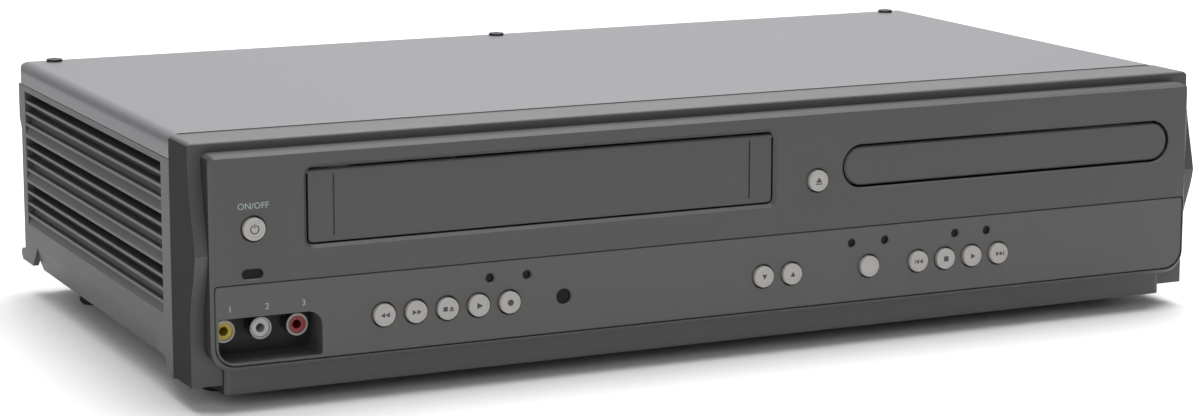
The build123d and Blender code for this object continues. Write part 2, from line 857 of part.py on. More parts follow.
def control_panel():
    low, high = control_low_radius, control_top_radius
    x = control_half_width
    panel = front_outline(corners(-x, x, control_low_z, control_top_z, (low, low, high, high)),
                          panel_front, panel_back)
    panel = chamfer(panel.edges().group_by(Axis.Y)[0], control_edge)
    panel += block(-x + 4, x - 4, panel_back - 0.1, panel_back + control_ledge_depth,
                   control_top_z - control_ledge, control_top_z + control_ledge)
    panel -= block(-x, x, panel_front, panel_back, control_top_z, control_top_z + control_ledge + 1)
    left, right, low_z, high_z = recess_left_x, recess_right_x, recess_low_z, recess_top_z
    wall = recess_wall
    radii = (recess_low_corner, wall, recess_corner, wall)
    outer_radii = [radius + wall for radius in radii]
    panel += front_outline(corners(left - wall, right + wall, low_z - wall, high_z + wall,
                                   outer_radii), panel_back - 0.1, recess_back_y)
    panel -= front_outline(corners(left, right, low_z, high_z, radii), panel_front - 1,
                           recess_back_y + 1)
    for name, (hole_x, hole_z) in button_places().items():
        if hole_z == button_row_z:
            panel -= bevelled_hole(hole_x, hole_z, button_radius + button_gap, button_hole_bevel)
    for led_x in led_xs:
        panel -= bevelled_hole(led_x, led_row_z, led_radius + press_gap, lens_bevel)
    panel -= bevelled_hole(sensor_x, button_row_z, sensor_radius + press_gap, lens_bevel)
    for boss_x, boss_z in board_bosses():
        if boss_z < control_top_z:
            panel += peg(boss_x, boss_z, panel_back - 0.1, front_board_y, board_boss_radius)
    return panel


def lenses():
    y0 = panel_front + lens_set_back
    lenses = [peg(x, led_row_z, y0, front_board_y, led_radius) for x in led_xs]
    lenses.append(peg(sensor_x, button_row_z, y0, front_board_y, sensor_radius))
    lenses.append(front_outline(stadium(power_led_x, power_led_z, power_led_width,
                                        power_led_height), y0, front_board_y))
    return Compound(lenses)


def front_board():
    back = front_board_y + board_sheet
    board = block(front_board_left_x, front_board_right_x, front_board_y, back,
                  front_board_low_z, front_board_high_z)
    wing = wing_half_width
    board += block(open_close_x - wing, open_close_x + wing, front_board_y, back,
                   front_board_high_z - 1, wing_high_z)
    board += block(standby_x - wing, standby_x + 2 * wing, front_board_y, back,
                   power_led_z - wing, wing_high_z)
    half = switch_size / 2
    for x, z in button_places().values():
        board += block(x - half, x + half, switch_front, front_board_y + 0.1, z - half, z + half)
    return board


def cassette_door():
    pin_y, pin_z = door_axis()
    gap = door_gap
    y0 = panel_front + door_set_back
    y1 = y0 + door_sheet
    left, right = door_left_x + gap, door_right_x - gap
    radius = door_corner - gap
    door = front_outline(corners(left, right, door_low_z + gap, pin_z, (radius, radius, 0, 0)), y0, y1)
    for x in (left + door_line_inset, right - door_line_inset):
        door -= block(x - door_line_width / 2, x + door_line_width / 2, y0 - 1, y0 + door_line_depth,
                      door_low_z + door_line_margin, door_high_z - door_line_margin)
    door += cross_pin(pin_y, pin_z, left, right, door_sheet / 2)
    for x in (left, right):
        door += cross_pin(pin_y, pin_z, x - door_pin_length, x + door_pin_length, door_pin_radius)
    return door


def jack_xs():
    return [jack_first_x + step * jack_pitch for step in range(3)]


def jack_block():
    x0, x1 = recess_left_x - recess_wall, recess_right_x + recess_wall
    body = block(x0, x1, recess_back_y, recess_back_y + jack_body_depth,
                 recess_low_z - recess_wall, recess_top_z + recess_wall)
    for x in jack_xs():
        body -= peg(x, jack_z, recess_back_y - 1, recess_back_y + jack_seat, jack_radius)
    return body


def jack_shell(x, z, y0, y1):
    return peg(x, z, y0, y1, jack_radius) - peg(x, z, y0 - 1, y1 + 1, jack_radius - jack_shell_wall)


def front_jack_shells():
    y1 = recess_back_y + jack_seat
    return Compound([jack_shell(x, jack_z, jack_front_y, y1) for x in jack_xs()])


def front_jack_inserts():
    y0 = jack_front_y + jack_insert_set_back
    y1 = recess_back_y + jack_seat
    return Compound([
        peg(x, jack_z, y0, y1, jack_radius - jack_shell_wall)
        - peg(x, jack_z, y0 - 1, y1 - jack_seat / 2, jack_bore_radius) for x in jack_xs()])


# --- Rear ---
def rear_jack_places():
    return [(rear_jack_x0 + column * rear_jack_pitch_x, rear_jack_z0 + row * rear_jack_pitch_z)
            for column in range(rear_jack_columns) for row in range(rear_jack_rows)]


def rear_panel():
    inner = half_width - side_wall - seam_gap
    y0 = rear_face - rear_sheet
    panel = block(-inner, inner, y0, rear_face, tuck_low_z + floor_wall + seam_gap, seam_z - seam_gap)
    for x, z in rear_jack_places():
        panel -= peg(x, z, y0 - 1, rear_face + 1, jack_radius)
    for step in range(2):
        panel -= peg(aerial_x + step * aerial_pitch, aerial_z, y0 - 1, rear_face + 1, aerial_radius)
    panel -= peg(bushing_x, bushing_z, y0 - 1, rear_face + 1, bushing_radius)
    for step in range(rear_vent_count):
        vent = Rot(0, 0, 90) * SlotOverall(rear_vent_height, rear_vent_width)
        vent_x = rear_vent_first_x + step * rear_vent_pitch
        panel -= front_outline(Pos(vent_x, rear_vent_z) * vent, y0 - 1, rear_face + 1)
    # Tabs fold forward under the lid and take its screws.
    tab_top = cabinet_height - cover_sheet - seam_gap
    for x in cover_screw_xs():
        x0 = max(x - lid_tab_half, -inner)
        x1 = min(x + lid_tab_half, inner)
        panel += block(x0, x1, y0, rear_face, seam_z - seam_gap - 0.1, tab_top)
        panel += block(x0, x1, cover_screw_y() - lid_tab_reach, rear_face, tab_top - lid_tab_sheet,
                       tab_top)
        panel -= post(x, cover_screw_y(), tab_top - lid_tab_sheet - 1, tab_top + 1,
                      cover_screw_shank + press_gap)
    return panel


def rear_jacks():
    rear = rear_face + rear_jack_length
    front = rear_face - rear_sheet
    half = rear_jack_pitch_x / 2
    x0, z0 = rear_jack_x0 - half, rear_jack_z0 - rear_jack_pitch_z / 2
    body = block(x0, x0 + rear_jack_columns * rear_jack_pitch_x, front - rear_jack_body_depth,
                 front, z0, z0 + rear_jack_rows * rear_jack_pitch_z)
    for x, z in rear_jack_places():
        body += peg(x, z, front - 0.1, rear, jack_radius - press_gap)
        body -= peg(x, z, front, rear + 1, jack_bore_radius)
    return body


def aerial_connectors():
    front = rear_face - rear_sheet
    body = block(aerial_x - aerial_pitch / 2, aerial_x + 1.5 * aerial_pitch,
                 front - aerial_body_depth, front, aerial_z - aerial_body_half,
                 aerial_z + aerial_body_half)
    for step in range(2):
        x = aerial_x + step * aerial_pitch
        body += peg(x, aerial_z, front - 0.1, rear_face + rear_jack_length,
                    aerial_radius - press_gap)
        hexagon = RegularPolygon(aerial_hex, 6)
        body += front_outline(Pos(x, aerial_z) * hexagon, rear_face, rear_face + aerial_hex_length)
        body -= peg(x, aerial_z, rear_face, rear_face + rear_jack_length + 1, aerial_bore)
    return body


def cord_bushing():
    front = rear_face - rear_sheet
    inner_end = front - bushing_inner_length
    outer_end = rear_face + bushing_outer_length
    bushing = peg(bushing_x, bushing_z, inner_end, outer_end, bushing_radius - press_gap)
    bushing += peg(bushing_x, bushing_z, rear_face, rear_face + bushing_flange_sheet,
                   bushing_radius + bushing_flange)
    return bushing - peg(bushing_x, bushing_z, inner_end - 1, outer_end + 1, bushing_bore)


# --- Boards on the floor ---
def board_z():
    return floor_top + board_standoff


def main_board():
    z0, z1 = board_z(), board_z() + board_sheet
    board = block(*main_board_x, *main_board_y, z0, z1)
    width, depth, height = chip_size
    for x, y in chip_places:
        board += block(x - width / 2, x + width / 2, y - depth / 2, y + depth / 2, z1, z1 + height)
    return board


def power_board():
    z0, z1 = board_z(), board_z() + board_sheet
    board = block(*power_board_x, *power_board_y, z0, z1)
    for x, y in capacitor_places:
        board += post(x, y, z1 - 0.1, z1 + capacitor_length, capacitor_radius)
    width, depth, height = transformer_size
    x, y = power_board_x[1] - width, power_board_y[1] - depth
    board += block(x - width / 2, x + width / 2, y - depth / 2, y + depth / 2, z1 - 0.1, z1 + height)
    board += block(x - width / 2 - 3, x + width / 2 + 3, y - depth / 4, y + depth / 4, z1,
                   z1 + height - 4)
    return board


# --- Tape deck ---
def reel_xs():
    return door_x - reel_spacing / 2, door_x + reel_spacing / 2


def deck_plate():
    left, right = deck_edges()
    plate = block(left - 3, right + 3, *deck_y, deck_z, deck_top)
    for x in reel_xs():
        plate += post(x, reel_y, deck_top - 0.1, deck_top + reel_table_height + reel_hub_height - 2,
                      reel_pin_radius)
    plate += post(capstan_x, capstan_y, deck_z - capstan_sleeve_drop, deck_top
                  + capstan_sleeve_height, capstan_sleeve_radius)
    plate -= post(capstan_x, capstan_y, deck_z - capstan_sleeve_drop - 1, deck_top
                  + capstan_sleeve_height + 1, capstan_radius + press_gap)
    plate -= post(door_x, drum_y, deck_z - 1, deck_top + 1, drum_seat_radius)
    for side in (-1, 1):
        plate -= guide_slot(side)
    plate += post(pinch_pivot_x, pinch_pivot_y, deck_top - 0.1, pinch_arm_z + pinch_arm_sheet + 2,
                  pinch_pin_radius)
    return plate


def guide_place(side, travel):
    sideways, y = guide_start
    heading = math.radians(guide_heading)
    return (door_x + side * (sideways + travel * math.sin(heading)), y + travel * math.cos(heading))


def guide_slot(side):
    start, end = guide_place(side, -3.0), guide_place(side, guide_travel + 3.0)
    middle = ((start[0] + end[0]) / 2, (start[1] + end[1]) / 2)
    angle = math.degrees(math.atan2(end[1] - start[1], end[0] - start[0]))
    slot = SlotOverall(math.dist(start, end), 2 * guide_pin_radius + 1.0)
    return Pos(*middle, deck_z - 1) * Rot(0, 0, angle) * extrude(slot, deck_sheet + 2)


def tape_guide(side):
    x, y = guide_place(side, 0)
    width, depth, height = guide_base
    z0 = deck_top + running_lift
    sled = Pos(x, y, 0) * Rot(0, 0, -side * guide_heading) * block(-width / 2, width / 2, -depth / 2,
                                                                   depth / 2, z0, z0 + height)
    top = z0 + height
    sled += post(x, y, deck_z - 2, top + guide_roller_height + 2, guide_pin_radius)
    sled += post(x, y, top - 0.1, top + 1, guide_flange_radius)
    sled += post(x, y, top + 1, top + 1 + guide_roller_height, guide_roller_radius)
    sled += post(x, y, top + 1 + guide_roller_height, top + 2.2 + guide_roller_height,
                 guide_flange_radius)
    return sled


def reel(x):
    z0 = deck_top + running_lift
    top = z0 + reel_table_height
    table = post(x, reel_y, z0, top, reel_table_radius)
    table = chamfer(table.edges().group_by(Axis.Z)[-1], 0.8)
    hub = post(x, reel_y, top - 0.1, top + reel_hub_height, reel_hub_radius)
    table += chamfer(hub.edges().group_by(Axis.Z)[-1], 1.2)
    for step in range(3):
        angle = math.radians(120 * step)
        spline_x = x + reel_hub_radius * math.cos(angle)
        spline_y = reel_y + reel_hub_radius * math.sin(angle)
        table += Pos(spline_x, spline_y, top) * Rot(0, 0, 120 * step) * Box(
            2 * reel_spline, reel_spline, reel_hub_height - 3, align=(Align.CENTER, Align.CENTER,
                                                                      Align.MIN))
    return table - post(x, reel_y, z0 - 1, top + reel_hub_height - 1, reel_pin_radius + press_gap)


def drum_frame(z):
    # A place on the drum's tilted axis, z above the deck plate's top.
    return Pos(door_x, drum_y, deck_top) * Rot(drum_tilt, 0, 0) * Pos(0, 0, z)


def centred_post(z0, z1, radius):
    return Pos(0, 0, (z0 + z1) / 2) * Cylinder(radius, z1 - z0)


def drum_base():
    base = centred_post(drum_seat_height, drum_base_height, drum_radius)
    base += centred_post(0, drum_seat_height + 0.1, drum_seat_radius)
    base += centred_post(drum_base_height - 0.1, drum_base_height + drum_upper_height,
                         drum_shaft_radius)
    base = drum_frame(0) * base
    base += block(door_x - drum_radius, door_x + drum_radius, drum_y - drum_foot_half,
                  drum_y + drum_foot_half, deck_top, deck_top + drum_foot_sheet)
    # The tilted seat is cut off level with the deck plate's top.
    reach = drum_radius + drum_base_height
    return base - block(door_x - reach, door_x + reach, drum_y - reach, drum_y + reach,
                        deck_top - drum_seat_radius, deck_top)


def head_drum():
    z0 = drum_base_height + running_lift
    drum = centred_post(z0, z0 + drum_upper_height, drum_radius)
    drum = chamfer(drum.edges().group_by(Axis.Z)[-1], 0.8)
    drum += centred_post(z0 + drum_upper_height - 0.1, z0 + drum_upper_height + drum_motor_height,
                         drum_motor_radius)
    drum -= centred_post(z0 - 1, drum_base_height + drum_upper_height + 1,
                         drum_shaft_radius + press_gap)
    return drum_frame(0) * drum


def capstan():
    rotor_top = deck_z - capstan_sleeve_drop - running_lift
    shaft = post(capstan_x, capstan_y, rotor_top - 1, capstan_top_z, capstan_radius)
    return shaft + post(capstan_x, capstan_y, rotor_top - rotor_height, rotor_top, rotor_radius)


def pinch_roller_place():
    # Swung back from the capstan by the arm's whole swing.
    reach = math.dist((pinch_pivot_x, pinch_pivot_y), (capstan_x, capstan_y))
    nip = capstan_radius + pinch_roller_radius + pinch_nip_gap
    to_capstan = math.atan2(capstan_y - pinch_pivot_y, capstan_x - pinch_pivot_x)
    closed = to_capstan + 2 * math.asin(nip / 2 / reach)
    opened = closed + math.radians(pinch_swing)
    return (pinch_pivot_x + reach * math.cos(opened), pinch_pivot_y + reach * math.sin(opened))


def pinch_arm():
    x, y = pinch_roller_place()
    z0, z1 = pinch_arm_z, pinch_arm_z + pinch_arm_sheet
    arm = post(pinch_pivot_x, pinch_pivot_y, deck_top + running_lift, z1, pinch_pin_radius + 2)
    arm += post(x, y, z0, z1, 4.0)
    length = math.dist((pinch_pivot_x, pinch_pivot_y), (x, y))
    angle = math.degrees(math.atan2(y - pinch_pivot_y, x - pinch_pivot_x))
    arm += Pos((pinch_pivot_x + x) / 2, (pinch_pivot_y + y) / 2, (z0 + z1) / 2) * Rot(0, 0, angle) * (
        Box(length, 7, pinch_arm_sheet))
    arm += post(x, y, z0 - pinch_roller_height - 1, z0 + 0.1, 1.5)
    return arm - post(pinch_pivot_x, pinch_pivot_y, deck_top - 1, z1 + 1, pinch_pin_radius + press_gap)


def pinch_roller():
    x, y = pinch_roller_place()
    z1 = pinch_arm_z - running_lift
    roller = post(x, y, z1 - pinch_roller_height, z1, pinch_roller_radius)
    return roller - post(x, y, z1 - pinch_roller_height - 1, z1 + 1, 1.5 + press_gap)


def tape_head(x, y):
    width, depth, height = head_block
    return block(x - width / 2, x + width / 2, y - depth / 2, y + depth / 2, deck_top,
                 deck_top + height)


def bracket_xs():
    outer = holder_half + holder_sheet + carriage_sheet + 2 * seam_gap
    return ((door_x - outer - bracket_sheet, door_x - outer), (door_x + outer, door_x + outer
                                                               + bracket_sheet))


def lift_brackets():
    group = []
    for x0, x1 in bracket_xs():
        plate = block(x0, x1, *bracket_y, deck_top, deck_top + bracket_height)
        rail_z = deck_top + bracket_height - carriage_rail_drop
        slot = SlotOverall(carriage_rail_length + carriage_travel, carriage_rail_height + 2 * press_gap)
        middle = carriage_rail_y + carriage_travel / 2
        plate -= side_outline(Pos(middle, rail_z) * slot, x0 - 1, x1 + 1)
        group.append(plate)
    return Compound(group)


def carriage():
    group = []
    rail_z = deck_top + bracket_height - carriage_rail_drop
    for side in (-1, 1):
        x0 = door_x + side * (holder_half + holder_sheet + seam_gap)
        x1 = x0 + side * carriage_sheet
        low_x, high_x = min(x0, x1), max(x0, x1)
        plate = block(low_x, high_x, *carriage_y, carriage_low_z, rail_z + 5)
        for pin_y in holder_pin_ys:
            slot = SlotOverall(holder_lift + 2 * (holder_pin_radius + holder_pin_gap),
                               2 * (holder_pin_radius + holder_pin_gap))
            plate -= side_outline(Pos(pin_y, holder_pin_z() - holder_lift / 2) * Rot(0, 0, 90) * slot,
                                  low_x - 1, high_x + 1)
        tongue_x = x1 + side * (seam_gap + bracket_sheet)
        tongue = side_outline(Pos(carriage_rail_y, rail_z) * SlotOverall(carriage_rail_length,
                                                                         carriage_rail_height),
                              min(x1, tongue_x), max(x1, tongue_x))
        group.append(plate + tongue)
    return Compound(group)


def holder_pin_z():
    return cassette_z + cassette_height / 2


def cassette_holder():
    x = holder_half + holder_sheet
    z0, z1 = cassette_z - holder_sheet, cassette_z + cassette_height + 0.5 + holder_sheet
    y0, y1 = holder_front_y, holder_front_y + holder_depth
    holder = block(door_x - x, door_x + x, y0, y1, z0, z1)
    holder -= block(door_x - holder_half, door_x + holder_half, y0 - 1, y1 + 1, z0 + holder_sheet,
                    z1 - holder_sheet)
    inner = holder_half - holder_flange
    holder -= block(door_x - inner, door_x + inner, y0 - 1, y1 + 1, z0 - 1, z0 + holder_sheet + 1)
    for side in (-1, 1):
        tab_x = door_x + side * (holder_half - 6)
        holder += block(tab_x - 6, tab_x + 6, y1 - holder_sheet, y1, z0, z1)
        for pin_y in holder_pin_ys:
            start = door_x + side * x
            end = start + side * (seam_gap + carriage_sheet)
            holder += cross_pin(pin_y, holder_pin_z(), min(start, end), max(start, end),
                                holder_pin_radius)
    return holder


# --- Disc loader ---
def loader_frame():
    x0, x1 = loader_x - loader_half_width, loader_x + loader_half_width
    y0, y1 = loader_y
    frame = block(x0, x1, y0, y1, loader_floor_z, loader_top_z)
    frame -= block(x0 + loader_wall, x1 - loader_wall, y0 - 1, y1 - loader_wall,
                   loader_floor_z + loader_floor, loader_top_z + 1)
    frame -= block(loader_x - loader_window_half, loader_x + loader_window_half, *loader_window_y,
                   loader_floor_z - 1, loader_floor_z + loader_floor + 1)
    for leg_x in loader_legs_x():
        for leg_y in loader_leg_y:
            frame += post(leg_x, leg_y, loader_low_z, loader_floor_z + 0.1, loader_leg_radius)
    # Rails under the tray's edges, and short tabs over them.
    low = tray_low_z - tray_rail_gap
    high = tray_top_z + tray_rail_gap
    for side in (-1, 1):
        wall = loader_x + side * (loader_half_width - loader_wall)
        edge = wall - side * rail_width
        frame += block(min(wall, edge), max(wall, edge), y0, y1 - loader_wall, low - rail_height, low)
        for step in range(3):
            tab_y = y0 + step * rail_tab_pitch
            frame += block(min(wall, edge), max(wall, edge), tab_y, tab_y + rail_tab_length, high,
                           high + rail_tab_sheet)
        # Ears beside the window carry the pickup unit's pivots.
        ear = loader_x + side * (loader_window_half + 2)
        bearing = block(ear - 2, ear + 2, pivot_y - 6, pivot_y + 6, loader_floor_z + loader_floor
                        - 0.1, pivot_z + pivot_radius + 2)
        frame += bearing - cross_pin(pivot_y, pivot_z, ear - 3, ear + 3, pivot_radius + press_gap)
    gear_x = tray_gear_x()
    frame += post(gear_x, gear_y, loader_floor_z + loader_floor - 0.1,
                  gear_low_z + 2 * gear_width - 0.5, gear_pin_radius)
    motor_x, motor_y = motor_place()
    frame -= post(motor_x, motor_y, loader_floor_z - 1, loader_floor_z + loader_floor + 1, 3.0)
    return frame


def tray_gear_x():
    return tray_centre_x + rack_x + rack_pinion_teeth * gear_module / 2


def motor_place():
    reach = (tray_gear_teeth + motor_gear_teeth) * gear_module / 2
    angle = math.radians(motor_direction)
    return tray_gear_x() + reach * math.cos(angle), gear_y + reach * math.sin(angle)


def tray_gear():
    middle = gear_low_z + gear_width
    wheel = gear(tray_gear_teeth, gear_module, 0.0, gear_low_z, middle)
    wheel += gear(rack_pinion_teeth, gear_module, 180.0, middle - 0.01, middle + gear_width)
    wheel -= post(0, 0, gear_low_z - 1, middle + gear_width + 1, gear_pin_radius + press_gap)
    return Pos(tray_gear_x(), gear_y, 0) * wheel


def motor_gear():
    phase = meshing_phase(tray_gear_teeth, 0.0, motor_gear_teeth, motor_direction)
    wheel = gear(motor_gear_teeth, gear_module, phase, gear_low_z, gear_low_z + gear_width)
    wheel -= post(0, 0, gear_low_z - 1, gear_low_z + gear_width - 0.6, motor_shaft_radius + press_gap)
    return Pos(*motor_place(), 0) * wheel


def loading_motor():
    x, y = motor_place()
    can = post(x, y, loader_floor_z - motor_height, loader_floor_z, motor_radius)
    can = chamfer(can.edges().group_by(Axis.Z)[0], 1.0)
    can += post(x, y, loader_floor_z - 0.1, loader_floor_z + loader_floor, 2.9)
    return can + post(x, y, loader_floor_z, gear_low_z + gear_width - 0.8, motor_shaft_radius)


def disc_tray():
    y0 = panel_front + tray_front_set_back + tray_front_sheet
    y1 = y0 + tray_length
    x0, x1 = tray_centre_x - tray_half_width, tray_centre_x + tray_half_width
    tray = block(x0, x1, y0, y1, tray_low_z, tray_top_z)
    tray = fillet(tray.edges().filter_by(Axis.Z).group_by(Axis.Y)[-1], tray_corner)
    tray -= post(tray_centre_x, disc_y, tray_top_z - disc_recess_depth, tray_top_z + 1,
                 disc_recess_radius)
    tray -= post(tray_centre_x, disc_y, tray_top_z - disc_recess_depth - small_disc_depth,
                 tray_top_z + 1, small_disc_radius)
    window_y0, window_y1 = hub_window_y
    window = corners(tray_centre_x - hub_window_half, tray_centre_x + hub_window_half, window_y0,
                     window_y1, (20.0, 20.0, 3.0, 3.0))
    tray -= Pos(0, 0, tray_low_z - 1) * extrude(window, tray_thickness + 2)
    # Hollow from below, which leaves a floor under the recess and a wall round the edge.
    for side in (-1, 1):
        near, far = hub_window_half + tray_rib, tray_half_width - tray_under_rim
        pocket_x0 = tray_centre_x + min(side * near, side * far)
        pocket_x1 = tray_centre_x + max(side * near, side * far)
        tray -= block(pocket_x0, pocket_x1, y0 + 6, y1 - 6, tray_low_z - 1, tray_low_z + tray_pocket)
    gap_y = gear_y
    rack_low = gear_low_z + gear_width + 0.3
    teeth = rack(gear_module, gap_y, rack_from_y, y1 - 2, rack_back, rack_low, tray_low_z
                 + tray_pocket + 0.1)
    tray += Pos(tray_centre_x + rack_x, 0, 0) * teeth
    return tray


def tray_front():
    y0 = panel_front + tray_front_set_back
    width = tray_slot_width - 2 * tray_front_gap
    height = tray_slot_height - 2 * tray_front_gap
    front = front_outline(stadium(tray_centre_x, tray_centre_z, width, height), y0,
                          y0 + tray_front_sheet)
    return chamfer(front.edges().group_by(Axis.Y)[0], tray_front_edge)


def pickup_frame():
    x0, x1 = loader_x - frame_half_width, loader_x + frame_half_width
    plate = block(x0, x1, frame_front_y, frame_rear_y, frame_z, frame_z + frame_sheet)
    plate -= block(loader_x + frame_window_x[0], loader_x + frame_window_x[1], *frame_window_y,
                   frame_z - 1, frame_z + frame_sheet + 1)
    for side in (-1, 1):
        pin_from, pin_to = side * (frame_half_width - 1), side * (loader_window_half + 3.5)
        plate += cross_pin(pivot_y, pivot_z, loader_x + min(pin_from, pin_to),
                           loader_x + max(pin_from, pin_to), pivot_radius)
        plate += block(loader_x + side * (frame_half_width - 3) - 3,
                       loader_x + side * (frame_half_width - 3) + 3, pivot_y - 4, pivot_y + 4,
                       pivot_z - pivot_radius, frame_z + 1)
        rod_x = loader_x + side * rod_offset
        for block_y in (frame_window_y[0] - rod_block, frame_window_y[1]):
            plate += block(rod_x - rod_block / 2, rod_x + rod_block / 2, block_y,
                           block_y + rod_block, frame_z + 0.5, rod_z + rod_radius + 1)
            plate -= peg(rod_x, rod_z, frame_window_y[0] - rod_block + 1,
                         frame_window_y[1] + rod_block - 1, rod_radius)
    plate -= post(loader_x, disc_y, frame_z - 1, frame_z + frame_sheet + 1, 3.0)
    plate -= post(*feed_gear_place(), frame_z - 1, frame_z + frame_sheet + 1, 2.0)
    return plate


def sled_rods():
    y0 = frame_window_y[0] - rod_block + 1
    y1 = frame_window_y[1] + rod_block - 1
    return Compound([peg(loader_x + side * rod_offset, rod_z, y0, y1, rod_radius)
                              for side in (-1, 1)])


def spindle_motor():
    z1 = frame_z
    motor = post(loader_x, disc_y, z1 - spindle_motor_height, z1, spindle_motor_radius)
    motor = chamfer(motor.edges().group_by(Axis.Z)[0], 1.0)
    motor += post(loader_x, disc_y, z1 - 0.1, frame_z + frame_sheet + 0.5, 2.9)
    return motor + post(loader_x, disc_y, z1, seat_z + hub_height - 1, spindle_radius)


def turntable():
    table = post(loader_x, disc_y, seat_z - turntable_height, seat_z, turntable_radius)
    cone = Pos(loader_x, disc_y, seat_z + hub_height / 2) * Cone(hub_radius, hub_top_radius, hub_height)
    table += cone
    table += post(loader_x, disc_y, frame_z + frame_sheet + 0.5 + running_lift,
                  seat_z - turntable_height + 0.1, 4.0)
    return table - post(loader_x, disc_y, frame_z, seat_z + hub_height - 0.6,
                        spindle_radius + press_gap)


def feed_gear_place():
    return loader_x + feed_rack_x + feed_teeth * feed_module / 2, feed_gear_y


def optical_pickup():
    lens_y = disc_y + lens_first
    z0 = rod_z - pickup_height / 2
    body = block(loader_x - pickup_half_width, loader_x + pickup_half_width,
                 lens_y - pickup_length / 2, lens_y + pickup_length / 2, z0, z0 + pickup_height)
    for side in (-1, 1):
        body -= peg(loader_x + side * rod_offset, rod_z, lens_y - pickup_length,
                    lens_y + pickup_length, rod_radius + press_gap)
    body += block(loader_x - 9, loader_x + 9, lens_y - 8, lens_y + 8, z0 + pickup_height - 0.1,
                  lens_top_z - 1.2)
    body += post(loader_x, lens_y, lens_top_z - 1.3, lens_top_z, lens_radius)
    teeth = rack(feed_module, feed_gear_y, *feed_rack_y, feed_rack_x - pickup_half_width + 0.1,
                 feed_z, feed_z + feed_width)
    return body + Pos(loader_x + feed_rack_x, 0, 0) * teeth


def feed_gear():
    wheel = gear(feed_teeth, feed_module, 180.0, feed_z, feed_z + feed_width)
    wheel -= post(0, 0, feed_z - 1, feed_z + feed_width - 0.6, motor_shaft_radius + press_gap)
    return Pos(*feed_gear_place(), 0) * wheel


def feed_motor():
    x, y = feed_gear_place()
    motor = post(x, y, frame_z - feed_motor_height, frame_z, feed_motor_radius)
    motor = chamfer(motor.edges().group_by(Axis.Z)[0], 0.8)
    motor += post(x, y, frame_z - 0.1, frame_z + frame_sheet, 1.9)
    return motor + post(x, y, frame_z, feed_z + feed_width - 0.8, motor_shaft_radius)


def bridge_z():
    return loader_top_z


def clamp_bridge():
    x0, x1 = loader_x - loader_half_width, loader_x + loader_half_width
    plate = block(x0, x1, *bridge_y, bridge_z(), bridge_z() + bridge_sheet)
    return plate - post(loader_x, disc_y, bridge_z() - 1, bridge_z() + bridge_sheet + 1,
                        clamper_hole)


def clamper():
    flange_z = bridge_z() + bridge_sheet + running_lift
    puck = post(loader_x, disc_y, clamper_low_z, flange_z + 0.1, clamper_body_radius)
    puck = chamfer(puck.edges().group_by(Axis.Z)[0], 0.6)
    flange = post(loader_x, disc_y, flange_z, flange_z + clamper_flange, clamper_flange_radius)
    return puck + chamfer(flange.edges().group_by(Axis.Z)[-1], 0.5)


def build():
    supply_x, takeup_x = reel_xs()
    parts = {
        "left_louvre_panel": left_side_panel(),
        "right_louvre_panel": mirror(left_side_panel(), Plane.YZ),
        "base_chassis": base_chassis(),
        "feet": feet(),
        "top_cover": top_cover(),
        "cover_screws": cover_screws(),
        "rear_panel": rear_panel(),
        "front_bezel": front_bezel(),
        "control_panel": control_panel(),
        "lenses": lenses(),
        "front_board": front_board(),
        "cassette_door": cassette_door(),
        "jack_block": jack_block(),
        "jack_shells": front_jack_shells(),
        "jack_inserts": front_jack_inserts(),
        "rear_sockets": Compound([rear_jacks(), aerial_connectors()]),
        "cord_bushing": cord_bushing(),
        "floor_boards": Compound([main_board(), power_board()]),
        "deck_plate": deck_plate(),
        "supply_reel": reel(supply_x),
        "takeup_reel": reel(takeup_x),
        "drum_base": drum_base(),
        "head_drum": head_drum(),
        "capstan": capstan(),
        "pinch_arm": pinch_arm(),
        "pinch_roller": pinch_roller(),
        "supply_guide": tape_guide(-1),
        "takeup_guide": tape_guide(1),
        "tape_heads": Compound([tape_head(erase_head_x, erase_head_y),
                                         tape_head(sound_head_x, sound_head_y)]),
        "lift_brackets": lift_brackets(),
        "carriage": carriage(),
        "cassette_holder": cassette_holder(),
        "loader_frame": loader_frame(),
        "loading_motor": loading_motor(),
        "motor_gear": motor_gear(),
        "tray_gear": tray_gear(),
        "disc_tray": disc_tray(),
        "tray_front": tray_front(),
        "pickup_frame": pickup_frame(),
        "sled_rods": sled_rods(),
        "pickup_motors": Compound([spindle_motor(), feed_motor()]),
        "turntable": turntable(),
        "optical_pickup": optical_pickup(),
        "feed_gear": feed_gear(),
        "clamp_bridge": clamp_bridge(),
        "clamper": clamper(),
    }
    for name, place in button_places().items():
        parts[name] = button(*place)
    return parts


if __name__ == "__main__":
    os.makedirs("parts", exist_ok=True)
    for name, shape in build().items():
        placed = [Pos(0, -mid_y, 0) * solid for solid in shape.solids()]
        export_step(placed[0] if len(placed) == 1 else Compound(placed), f"parts/{name}.step")
